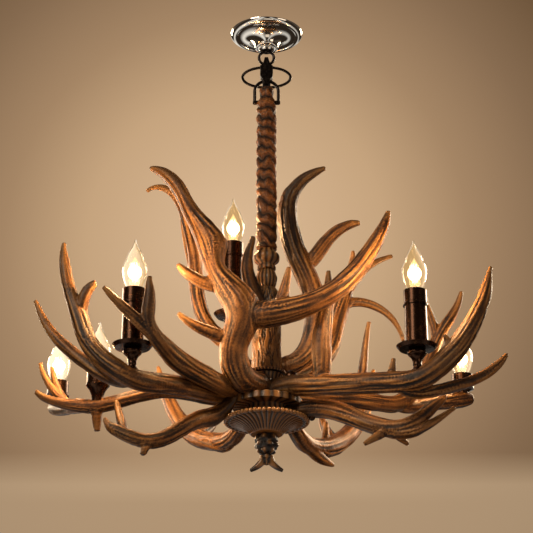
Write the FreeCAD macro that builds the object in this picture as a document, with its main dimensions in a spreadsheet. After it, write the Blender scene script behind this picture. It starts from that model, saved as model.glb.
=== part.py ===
"""Antler chandelier: six candle lamps on fourteen antlers round a turned hub,
hung on a stem with a twisted sleeve from a forged link chain and a canopy.

Millimetres, +Z up. The origin is on the hanging axis in the ceiling plane, so the lamp
hangs to -Z. The front, where the largest antler stands, faces -Y."""
import FreeCAD
import Part
import Sketcher
import math
import os
import re

Vector = FreeCAD.Vector
doc = FreeCAD.newDocument("AntlerChandelier")

# ---------------------------------------------------------------- driving sizes
SIZES = {
    # canopy and what fixes it to the ceiling
    "canopy_radius": 57.0,
    "canopy_edge": 46.0,
    "canopy_drop": 22.0,
    "canopy_wall": 1.2,
    "rim_drop": 6.0,
    "bar_length": 100.0,
    "bar_width": 20.0,
    "bar_thick": 2.5,
    "bolt_spacing": 70.0,
    "slot_length": 14.0,
    "slot_width": 5.0,
    "nipple_radius": 4.8,
    "nipple_bore": 3.2,
    "nut_flat": 16.0,
    "nut_thick": 5.0,
    "boss_radius": 19.0,
    "boss_drop": 31.0,
    # links of the hanging chain
    "loop_radius": 11.7,
    "loop_wire": 2.3,
    "loop_drop": 43.0,
    "hook_width": 20.0,
    "hook_depth": 14.0,
    "hook_top": 44.5,
    "hook_bottom": 92.5,
    "ring_half_width": 37.8,
    "ring_half_height": 16.2,
    "ring_wire": 2.2,
    "ring_lean": 18.0,
    "bow_radius": 18.5,
    "bow_wire": 2.5,
    "bow_drop": 102.5,
    "pin_drop": 122.0,
    "pin_radius": 2.4,
    "eye_radius": 3.5,
    # stem and hub, as drops below the ceiling
    "core_radius": 5.0,
    "core_bore": 3.0,
    "sleeve_top": 97.0,
    "sleeve_bottom": 372.0,
    "sleeve_radius": 14.5,
    "neck_radius": 11.0,
    "neck_bottom": 127.0,
    "knob_radius": 18.5,
    "knob_bottom": 405.0,
    "acorn_bottom": 435.0,
    "column_bottom": 566.0,
    "column_radius": 23.5,
    "collar_radius": 27.5,
    "collar_bottom": 573.0,
    "hub_drop": 600.0,
    "waist_radius": 21.0,
    "plate_radius": 53.0,
    "plate_bottom": 640.0,
    "bowl_radius": 61.0,
    "bowl_bottom": 664.0,
    "bowl_wall": 2.5,
    "finial_radius": 18.0,
    "finial_bottom": 696.0,
    "prong_reach": 24.0,
    "prong_bottom": 720.0,
    # antlers and candles
    "antler_span": 700.0,
    "antler_girth": 1.1,
    "vase_height": 33.0,
    "dish_radius": 29.0,
    "dish_thick": 5.0,
    "dish_floor": 3.0,
    "tube_radius": 16.0,
    "tube_height": 62.0,
    "tube_wall": 1.6,
    "cup_radius": 16.5,
    "cup_height": 23.0,
    "cup_wall": 3.0,
    "cup_floor": 3.0,
    "socket_radius": 9.5,
    "socket_height": 10.0,
    "bulb_radius": 17.5,
    "bulb_height": 78.0,
    "glass_wall": 1.0,
    "cap_radius": 6.8,
    "cap_height": 13.0,
}

sheet = doc.addObject("Spreadsheet::Sheet", "Sizes")
for row, (alias, value) in enumerate(SIZES.items(), start=1):
    sheet.set("A%d" % row, alias)
    sheet.set("B%d" % row, str(value))
    sheet.setAlias("B%d" % row, alias)
doc.recompute()


def size(alias):
    """Read one driving size back from the sheet."""
    return float(getattr(sheet, alias))


def bound(text):
    """Turn an expression in alias names into one that reads the sheet."""
    return re.sub(r"[a-z]+(_[a-z]+)+", lambda word: "Sizes." + word.group(0), text)


def worked(text):
    """Work out an expression in alias names with the sheet's present values.

    Only sums, differences and products of aliases and plain numbers occur."""
    total = 0.0
    for sign, term in re.findall(r"([+-]?)\s*([^+-]+)", text):
        product = 1.0
        for factor in term.split("*"):
            factor = factor.strip()
            product *= size(factor) if factor[0].isalpha() else float(factor)
        total += -product if sign == "-" else product
    return total


nodes = []


def keep(item, label):
    """Name a finished sub-part after its node."""
    item.Label = label
    nodes.append(item)
    return item


def origin_plane(body, role):
    for feature in body.Origin.OriginFeatures:
        if feature.Role == role:
            return feature
    raise ValueError(role)


def new_sketch(body, role, name):
    sketch = body.newObject("Sketcher::SketchObject", name)
    sketch.AttachmentSupport = [(origin_plane(body, role), "")]
    sketch.MapMode = "FlatFace"
    return sketch


def constrain_point(sketch, index, where, along, text):
    """Tie one end of a sketch line to the sketch origin by a bound distance."""
    value = worked(text)
    if abs(value) < 1e-9:
        axis = -2 if along == "DistanceX" else -1
        sketch.addConstraint(Sketcher.Constraint("PointOnObject", index, where, axis))
        return
    number = sketch.addConstraint(Sketcher.Constraint(along, -1, 1, index, where, value))
    sketch.setExpression("Constraints[%d]" % number, bound(text))


def arc_share(bulge):
    """Radius of an arc as a share of its chord, from its sagitta as a share of the chord."""
    return (1 + 4 * bulge * bulge) / (8 * abs(bulge))


def outline(sketch, corners):
    """Draw a closed outline. A corner is (x, y) or (x, y, sagitta share of the next side)."""
    places = [Vector(worked(c[0]), worked(c[1]), 0) for c in corners]
    count = len(corners)
    ends = []
    for i in range(count):
        start = places[i]
        end = places[(i + 1) % count]
        bulge = corners[i][2] if len(corners[i]) > 2 else 0.0
        if bulge:
            side = end - start
            left = Vector(-side.y, side.x, 0).normalize()
            sagitta = side.Length * bulge
            radius = side.Length * arc_share(bulge)
            centre = (start + end) * 0.5 + left * (sagitta - math.copysign(radius, sagitta))
            circle = Part.Circle(centre, Vector(0, 0, 1), radius)
            angles = [math.atan2(p.y - centre.y, p.x - centre.x) for p in (start, end)]
            if bulge > 0:
                angles.reverse()
            sketch.addGeometry(Part.ArcOfCircle(circle, angles[0], angles[1]), False)
            ends.append((2, 1) if bulge > 0 else (1, 2))
        else:
            sketch.addGeometry(Part.LineSegment(start, end), False)
            ends.append((1, 2))
    for i in range(count):
        following = (i + 1) % count
        sketch.addConstraint(Sketcher.Constraint(
            "Coincident", i, ends[i][1], following, ends[following][0]))
    for i in range(count):
        constrain_point(sketch, i, ends[i][0], "DistanceX", corners[i][0])
        constrain_point(sketch, i, ends[i][0], "DistanceY", corners[i][1])
    for i in range(count):
        bulge = corners[i][2] if len(corners[i]) > 2 else 0.0
        if bulge:
            share = arc_share(bulge)
            following = corners[(i + 1) % count]
            side = places[(i + 1) % count] - places[i]
            number = sketch.addConstraint(Sketcher.Constraint("Radius", i, side.Length * share))
            chord = "sqrt((%s - (%s))^2 + (%s - (%s))^2)" % (
                bound(following[0]), bound(corners[i][0]), bound(following[1]), bound(corners[i][1]))
            sketch.setExpression("Constraints[%d]" % number, "%s * %.6f" % (chord, share))


def set_place(item, x=0.0, y=0.0, drop="", lift=0.0):
    """Place a piece at (x, y), with its own zero the given drop below the ceiling."""
    item.Placement = FreeCAD.Placement(Vector(x, y, lift - worked(drop)), item.Placement.Rotation)
    item.setExpression("Placement.Base.z", "%g - (%s)" % (lift, bound(drop)))
    return item


def turned(label, drop, corners):
    """A turned piece: its half outline, (radius, height), revolved round its own axis."""
    body = doc.addObject("PartDesign::Body", label)
    sketch = new_sketch(body, "XZ_Plane", label + "_outline")
    outline(sketch, corners)
    turn = body.newObject("PartDesign::Revolution", label + "_turn")
    turn.Profile = sketch
    turn.ReferenceAxis = (sketch, ["V_Axis"])
    turn.Angle = 360.0
    sketch.Visibility = False
    body.Tip = turn
    set_place(body, drop=drop)
    return body


# ---------------------------------------------------------------- ceiling gear
def make_crossbar():
    """Flat bar over the ceiling box: a slot for a screw at each end, a hole for the nipple."""
    bar = doc.addObject("Part::Box", "crossbar_blank")
    bar.setExpression("Length", bound("bar_length"))
    bar.setExpression("Width", bound("bar_width"))
    bar.setExpression("Height", bound("bar_thick"))
    bar.setExpression("Placement.Base.x", bound("bar_length * -0.5"))
    bar.setExpression("Placement.Base.y", bound("bar_width * -0.5"))
    hole = doc.addObject("Part::Cylinder", "crossbar_hole")
    hole.setExpression("Radius", bound("nipple_radius"))
    hole.setExpression("Height", bound("bar_thick"))
    cutters = [hole]
    for side, sign in (("left", -1), ("right", 1)):
        middle = doc.addObject("Part::Box", "slot_middle_" + side)
        middle.setExpression("Length", bound("slot_length - slot_width"))
        middle.setExpression("Width", bound("slot_width"))
        middle.setExpression("Height", bound("bar_thick"))
        middle.setExpression("Placement.Base.x", bound(
            "bolt_spacing * %.1f - (slot_length - slot_width) * 0.5" % (sign * 0.5)))
        middle.setExpression("Placement.Base.y", bound("slot_width * -0.5"))
        cutters.append(middle)
        for end in (-1, 1):
            tip = doc.addObject("Part::Cylinder", "slot_end_%s_%d" % (side, end + 1))
            tip.setExpression("Radius", bound("slot_width * 0.5"))
            tip.setExpression("Height", bound("bar_thick"))
            tip.setExpression("Placement.Base.x", bound(
                "bolt_spacing * %.1f + (slot_length - slot_width) * %.1f" % (sign * 0.5, end * 0.5)))
            cutters.append(tip)
    openings = doc.addObject("Part::MultiFuse", "crossbar_openings")
    openings.Shapes = cutters
    crossbar = doc.addObject("Part::Cut", "crossbar")
    crossbar.Base = bar
    crossbar.Tool = openings
    set_place(crossbar, drop="bar_thick")
    return keep(crossbar, "crossbar")


def make_ceiling_gear():
    make_crossbar()
    nipple = turned("nipple", "boss_drop - 4.0", [
        ("nipple_bore", "0"), ("nipple_radius", "0"),
        ("nipple_radius", "boss_drop - 5.0"), ("nipple_bore", "boss_drop - 5.0")])
    keep(nipple, "nipple")

    nut = doc.addObject("Part::Prism", "lock_nut_hexagon")
    nut.Polygon = 6
    nut.setExpression("Circumradius", bound("nut_flat * 0.577"))
    nut.setExpression("Height", bound("nut_thick"))
    bore = doc.addObject("Part::Cylinder", "lock_nut_bore")
    bore.setExpression("Radius", bound("nipple_radius"))
    bore.setExpression("Height", bound("nut_thick"))
    ring = doc.addObject("Part::Cut", "lock_nut")
    ring.Base = nut
    ring.Tool = bore
    set_place(ring, drop="bar_thick + nut_thick")
    keep(ring, "lock_nut")

    # a broad rolled rim, then a trumpet that falls to the boss; open above
    canopy = turned("canopy", "canopy_drop", [
        ("boss_radius - 2.0", "0"),
        ("boss_radius", "0", 0.17),
        ("canopy_edge", "canopy_drop - rim_drop", 0.0),
        ("canopy_edge + 1.5", "canopy_drop - rim_drop - 1.0", -0.17),
        ("canopy_radius", "canopy_drop - 1.0"),
        ("canopy_radius", "canopy_drop"),
        ("canopy_radius - canopy_wall", "canopy_drop", 0.15),
        ("canopy_edge + 1.5", "canopy_drop - rim_drop + 0.3"),
        ("canopy_edge", "canopy_drop - rim_drop + canopy_wall", -0.17),
        ("boss_radius", "canopy_wall"),
        ("boss_radius - 2.0", "canopy_wall"),
    ])
    keep(canopy, "canopy")

    # stepped boss that screws on the nipple and clamps the canopy
    boss = turned("canopy_boss", "boss_drop", [
        ("0", "0"), ("10.0", "0"), ("12.0", "2.0"), ("12.0", "4.5"),
        ("13.5", "5.0", -0.2), ("boss_radius", "boss_drop - canopy_drop - 2.0"),
        ("boss_radius", "boss_drop - canopy_drop"),
        ("boss_radius - 2.0", "boss_drop - canopy_drop"),
        ("boss_radius - 2.0", "boss_drop - canopy_drop + canopy_wall"),
        ("nipple_radius", "boss_drop - canopy_drop + canopy_wall"),
        ("nipple_radius", "4.0"), ("0", "4.0"),
    ])
    keep(boss, "canopy_boss")

    ring = doc.addObject("Part::Torus", "loop_ring")
    ring.setExpression("Radius1", bound("loop_radius"))
    ring.setExpression("Radius2", bound("loop_wire"))
    ring.Placement = FreeCAD.Placement(Vector(), FreeCAD.Rotation(Vector(1, 0, 0), 90))
    neck = doc.addObject("Part::Cylinder", "loop_neck")
    neck.Radius = 4.5
    neck.setExpression("Height", bound("loop_drop - boss_drop - loop_radius + loop_wire - 0.05"))
    neck.Placement.Base = Vector(0, 0, size("loop_radius") - size("loop_wire"))
    neck.setExpression("Placement.Base.z", bound("loop_radius - loop_wire"))
    above = doc.addObject("Part::Cylinder", "loop_above")
    above.setExpression("Radius", bound("boss_radius"))
    above.setExpression("Height", bound("boss_drop"))
    above.setExpression("Placement.Base.z", bound("loop_drop - boss_drop - 0.05"))
    open_ring = doc.addObject("Part::Cut", "loop_open")
    open_ring.Base = ring
    open_ring.Tool = above
    loop = doc.addObject("Part::MultiFuse", "canopy_loop")
    loop.Shapes = [open_ring, neck]
    set_place(loop, drop="loop_drop")
    keep(loop, "canopy_loop")


# ---------------------------------------------------------------- links
def make_hook():
    """Forged yoke: a pointed block with an eye for the loop and one for the bow."""
    body = doc.addObject("PartDesign::Body", "hook")
    face = new_sketch(body, "XZ_Plane", "hook_face")
    tall = "hook_bottom - hook_top"
    outline(face, [
        ("0 - 6.0", "0"), ("6.0", "0"), ("6.5", "10.0", -0.1),
        ("hook_width * 0.5", "17.0"), ("hook_width * 0.5", tall + " - 15.0", 0.12),
        ("5.0", tall + " - 9.0"), ("2.5", tall), ("0 - 2.5", tall),
        ("0 - 5.0", tall + " - 9.0", 0.12),
        ("0 - hook_width * 0.5", tall + " - 15.0"), ("0 - hook_width * 0.5", "17.0", -0.1),
        ("0 - 6.5", "10.0"),
    ])
    pad = body.newObject("PartDesign::Pad", "hook_pad")
    pad.Profile = face
    pad.Midplane = True
    pad.setExpression("Length", bound("hook_depth"))
    doc.recompute()
    eyes = new_sketch(body, "YZ_Plane", "hook_eyes")
    wide = 3.3
    slots = (
        ("hook_bottom - loop_drop - loop_radius - 4.6", "hook_bottom - loop_drop - loop_radius + 0.6"),
        ("hook_bottom - bow_drop + bow_radius - 0.9", "hook_bottom - bow_drop + bow_radius - 0.3"),
    )
    for low, high in slots:
        foot = worked(low)
        head = worked(high)
        eyes.addGeometry(Part.LineSegment(Vector(wide, foot, 0), Vector(wide, head, 0)), False)
        eyes.addGeometry(Part.ArcOfCircle(
            Part.Circle(Vector(0, head, 0), Vector(0, 0, 1), wide), 0, math.pi), False)
        eyes.addGeometry(Part.LineSegment(Vector(-wide, head, 0), Vector(-wide, foot, 0)), False)
        eyes.addGeometry(Part.ArcOfCircle(
            Part.Circle(Vector(0, foot, 0), Vector(0, 0, 1), wide), math.pi, 2 * math.pi), False)
    cut = body.newObject("PartDesign::Pocket", "hook_pocket")
    cut.Profile = eyes
    cut.Type = 1
    cut.Midplane = True
    doc.recompute()
    body.Tip = cut
    set_place(body, drop="hook_bottom")
    return keep(body, "hook")


def make_ring():
    """Large oval ring: it lies over the lower wall of the hook's upper eye and leans back."""
    path = doc.addObject("Part::Ellipse", "ring_path")
    path.setExpression("MajorRadius", bound("ring_half_width"))
    path.setExpression("MinorRadius", bound("ring_half_height"))
    wire = doc.addObject("Part::Circle", "ring_section")
    wire.setExpression("Radius", bound("ring_wire"))
    wire.Placement = FreeCAD.Placement(
        Vector(size("ring_half_width"), 0, 0), FreeCAD.Rotation(Vector(1, 0, 0), 90))
    wire.setExpression("Placement.Base.x", bound("ring_half_width"))
    ring = doc.addObject("Part::Sweep", "oval_ring")
    ring.Sections = [wire]
    ring.Spine = (path, ["Edge1"])
    ring.Solid = True
    ring.Frenet = True
    lean = size("ring_lean")
    rise = size("ring_half_height")
    top = -(size("loop_drop") + size("loop_radius") + size("loop_wire") + size("ring_wire") + 0.2)
    middle = Vector(
        0,
        rise * math.sin(math.radians(lean)),
        top - rise * math.cos(math.radians(lean)))
    ring.Placement = FreeCAD.Placement(middle, FreeCAD.Rotation(Vector(1, 0, 0), 90 + lean))
    return keep(ring, "oval_ring")


def make_shackle():
    """Bow of the shackle: half a torus on two legs, with an eye at each foot."""
    arch = doc.addObject("Part::Torus", "bow_arch")
    arch.setExpression("Radius1", bound("bow_radius"))
    arch.setExpression("Radius2", bound("bow_wire"))
    arch.Angle3 = 180.0
    arch.Placement = FreeCAD.Placement(Vector(), FreeCAD.Rotation(Vector(1, 0, 0), 90))
    pieces = [arch]
    for sign, side in ((1, "right"), (-1, "left")):
        leg = doc.addObject("Part::Cylinder", "bow_leg_" + side)
        leg.setExpression("Radius", bound("bow_wire"))
        leg.setExpression("Height", bound("pin_drop - bow_drop"))
        leg.Placement.Base = Vector(sign * size("bow_radius"), 0, size("bow_drop") - size("pin_drop"))
        leg.setExpression("Placement.Base.x", "%d * %s" % (sign, bound("bow_radius")))
        leg.setExpression("Placement.Base.z", bound("bow_drop - pin_drop"))
        corner = doc.addObject("Part::Sphere", "bow_corner_" + side)
        corner.setExpression("Radius", bound("eye_radius"))
        corner.Placement.Base = Vector(sign * size("bow_radius"), 0, size("bow_drop") - size("pin_drop"))
        corner.setExpression("Placement.Base.x", "%d * %s" % (sign, bound("bow_radius")))
        corner.setExpression("Placement.Base.z", bound("bow_drop - pin_drop"))
        eye = doc.addObject("Part::Cylinder", "bow_eye_" + side)
        eye.setExpression("Radius", bound("eye_radius"))
        start = size("neck_radius") + 0.6
        reach_in = size("bow_radius") - start
        eye.Height = reach_in
        x = start if sign > 0 else -start - reach_in
        eye.Placement = FreeCAD.Placement(
            Vector(x, 0, size("bow_drop") - size("pin_drop")), FreeCAD.Rotation(Vector(0, 1, 0), 90))
        pieces += [leg, corner, eye]
    whole = doc.addObject("Part::MultiFuse", "bow_whole")
    whole.Shapes = pieces
    hole = doc.addObject("Part::Cylinder", "bow_hole")
    hole.setExpression("Radius", bound("pin_radius"))
    hole.Height = 60.0
    hole.Placement = FreeCAD.Placement(
        Vector(-30, 0, size("bow_drop") - size("pin_drop")), FreeCAD.Rotation(Vector(0, 1, 0), 90))
    bow = doc.addObject("Part::Cut", "shackle_bow")
    bow.Base = whole
    bow.Tool = hole
    set_place(bow, drop="bow_drop")
    keep(bow, "shackle_bow")

    pin = doc.addObject("Part::Cylinder", "shackle_pin")
    pin.setExpression("Radius", bound("pin_radius"))
    pin.setExpression("Height", bound("bow_radius * 2.0 + eye_radius * 2.0 - 1.0"))
    reach = size("bow_radius") + size("eye_radius") - 0.5
    pin.Placement = FreeCAD.Placement(
        Vector(-reach, 0, -size("pin_drop")), FreeCAD.Rotation(Vector(0, 1, 0), 90))
    keep(pin, "shackle_pin")


# ---------------------------------------------------------------- stem and hub
def cross_hole(body, name, height, clearance):
    """Bore the pin hole across a turned piece, along X."""
    doc.recompute()
    sketch = new_sketch(body, "YZ_Plane", name + "_pin_circle")
    radius = size("pin_radius") + clearance
    sketch.addGeometry(Part.Circle(Vector(0, worked(height), 0), Vector(0, 0, 1), radius), False)
    sketch.addConstraint(Sketcher.Constraint("PointOnObject", 0, 3, -2))
    number = sketch.addConstraint(Sketcher.Constraint("DistanceY", -1, 1, 0, 3, worked(height)))
    sketch.setExpression("Constraints[%d]" % number, bound(height))
    number = sketch.addConstraint(Sketcher.Constraint("Radius", 0, radius))
    sketch.setExpression("Constraints[%d]" % number, bound("pin_radius + %g" % clearance))
    hole = body.newObject("PartDesign::Pocket", name + "_pin_hole")
    hole.Profile = sketch
    hole.Type = 1
    hole.Midplane = True
    sketch.Visibility = False
    body.Tip = hole


def make_stem():
    top = "finial_bottom - 10.0 - pin_drop + 10.0"
    core = turned("stem_core", "finial_bottom - 10.0", [
        ("core_bore", "0"), ("core_radius", "0"), ("core_radius", top), ("0", top),
        ("0", top + " - 26.0"), ("core_bore", top + " - 26.0")])
    cross_hole(core, "stem_core", "finial_bottom - 10.0 - pin_drop", 0.08)
    keep(core, "stem_core")

    # the wrap lies in soft rolls over most of its length; its neck stays clear of the shackle's eyes
    rolls = 14
    corners = [("core_radius", "0")]
    for i in range(rolls):
        share = i / rolls
        height = "sleeve_bottom * %.4f - neck_bottom * %.4f" % (share, share)
        corners.append(("sleeve_radius - 1.4", height if i else "0", -0.09))
    crown = "sleeve_bottom - sleeve_top"
    corners += [
        ("sleeve_radius - 1.4", "sleeve_bottom - neck_bottom"), ("neck_radius", "sleeve_bottom - neck_bottom + 1.0"),
        ("neck_radius", crown + " - 12.0"), ("8.5", crown + " - 8.0"), ("8.5", crown + " - 3.5"),
        ("6.0", crown), ("0", crown), ("0", "sleeve_bottom - pin_drop + 10.0"),
        ("core_radius", "sleeve_bottom - pin_drop + 10.0")]
    sleeve = turned("stem_sleeve", "sleeve_bottom", corners)
    cross_hole(sleeve, "stem_sleeve", "sleeve_bottom - pin_drop", 0.08)
    keep(sleeve, "stem_sleeve")

    tall = "knob_bottom - sleeve_bottom"
    keep(turned("stem_knob", "knob_bottom", [
        ("core_radius", "0"), ("13.0", "0"), ("14.5", "1.5"), ("14.5", "4.5"), ("13.0", "6.0"),
        ("12.0", "8.0"), ("knob_radius - 3.0", "11.0", -0.28), ("knob_radius - 3.0", tall + " - 5.0"),
        ("12.5", tall), ("core_radius", tall)]), "stem_knob")

    tall = "acorn_bottom - knob_bottom"
    keep(turned("stem_acorn", "acorn_bottom", [
        ("core_radius", "0"), ("11.0", "0", -0.1), ("15.5", "10.0", -0.12), ("14.5", tall + " - 8.0", -0.12),
        ("9.5", tall), ("core_radius", tall)]), "stem_acorn")

    tall = "column_bottom - acorn_bottom"
    keep(turned("column", "column_bottom", [
        ("core_radius", "0"), ("column_radius - 1.0", "0", 0.01),
        ("column_radius", tall + " - 24.0", -0.08), ("14.0", tall), ("core_radius", tall)]),
        "column")

    tall = "collar_bottom - column_bottom"
    keep(turned("beaded_collar", "collar_bottom", [
        ("core_radius", "0"), ("collar_radius - 1.5", "0", -0.42),
        ("collar_radius - 1.5", tall), ("core_radius", tall)]), "beaded_collar")


def make_waist():
    """Fluted waist with the plate that carries the lower antlers, and the drum in the bowl."""
    tall = "plate_bottom - collar_bottom"
    drum = "plate_bottom - hub_drop - 22.0"
    return keep(turned("waist", "plate_bottom", [
        ("core_radius", "0"), ("30.0", "0"), ("30.0", drum), ("plate_radius", drum),
        ("plate_radius", drum + " + 9.0"), ("plate_radius - 2.0", drum + " + 11.0"),
        ("waist_radius + 8.0", drum + " + 13.0", 0.12),
        ("waist_radius", "plate_bottom - hub_drop", 0.12), ("25.0", tall), ("core_radius", tall)]),
        "waist")


def make_bowl():
    """Shallow bowl, its rim rolled, with a flat floor round the finial."""
    deep = "bowl_bottom - plate_bottom"
    keep(turned("bowl", "bowl_bottom", [
        ("core_radius", "0"), ("finial_radius + 6.0", "0"),
        ("finial_radius + 7.5", "2.0", 0.12),
        ("bowl_radius - 2.0", deep + " - 7.0", -0.4), ("bowl_radius", deep + " - 3.0", -0.4),
        ("bowl_radius - 4.0", deep + " - 4.0", -0.12),
        ("31.0", "6.5 + bowl_wall"), ("31.0", deep),
        ("core_radius", deep)]), "bowl")


def make_finial():
    keep(turned("finial", "finial_bottom", [
        ("0", "0"), ("8.0", "0"), ("9.0", "2.0", -0.25), ("finial_radius - 4.0", "9.0", -0.35),
        ("finial_radius - 2.0", "19.0", -0.3), ("finial_radius", "25.0"),
        ("finial_radius - 2.0", "finial_bottom - bowl_bottom"),
        ("core_radius", "finial_bottom - bowl_bottom"), ("core_radius", "10.0"), ("0", "10.0")]),
        "finial")


# ---------------------------------------------------------------- horn forms
def horn(points):
    """Loft a horn through (place, radius) pairs, its round sections square to its line."""
    line = Part.BSplineCurve()
    line.interpolate([place for place, _ in points])
    across = None
    wires = []
    for place, radius in points:
        along = line.tangent(line.parameter(place))[0]
        if across is None:
            across = along.cross(Vector(0.3, 0.2, 1.0))
        across = (across - along * across.dot(along)).normalize()
        section = Part.Circle(place, along, radius)
        section.XAxis = across
        wires.append(Part.Wire([section.toShape()]))
    return Part.makeLoft(wires, True, False)


def reach(point):
    """Turn (x, y, height over the hub centre, radius) into a place and a radius."""
    scale = size("antler_span") / 700.0
    x, y, height, radius = point
    place = Vector(x * scale, y * scale, height * scale - size("hub_drop"))
    return place, radius * size("antler_girth")


def antler_form(branches):
    """The beam and its tines, grown together."""
    horns = [horn([reach(point) for point in branch]) for branch in branches]
    whole = horns[0]
    if len(horns) > 1:
        whole = whole.fuse(horns[1:])
    return whole


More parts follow.
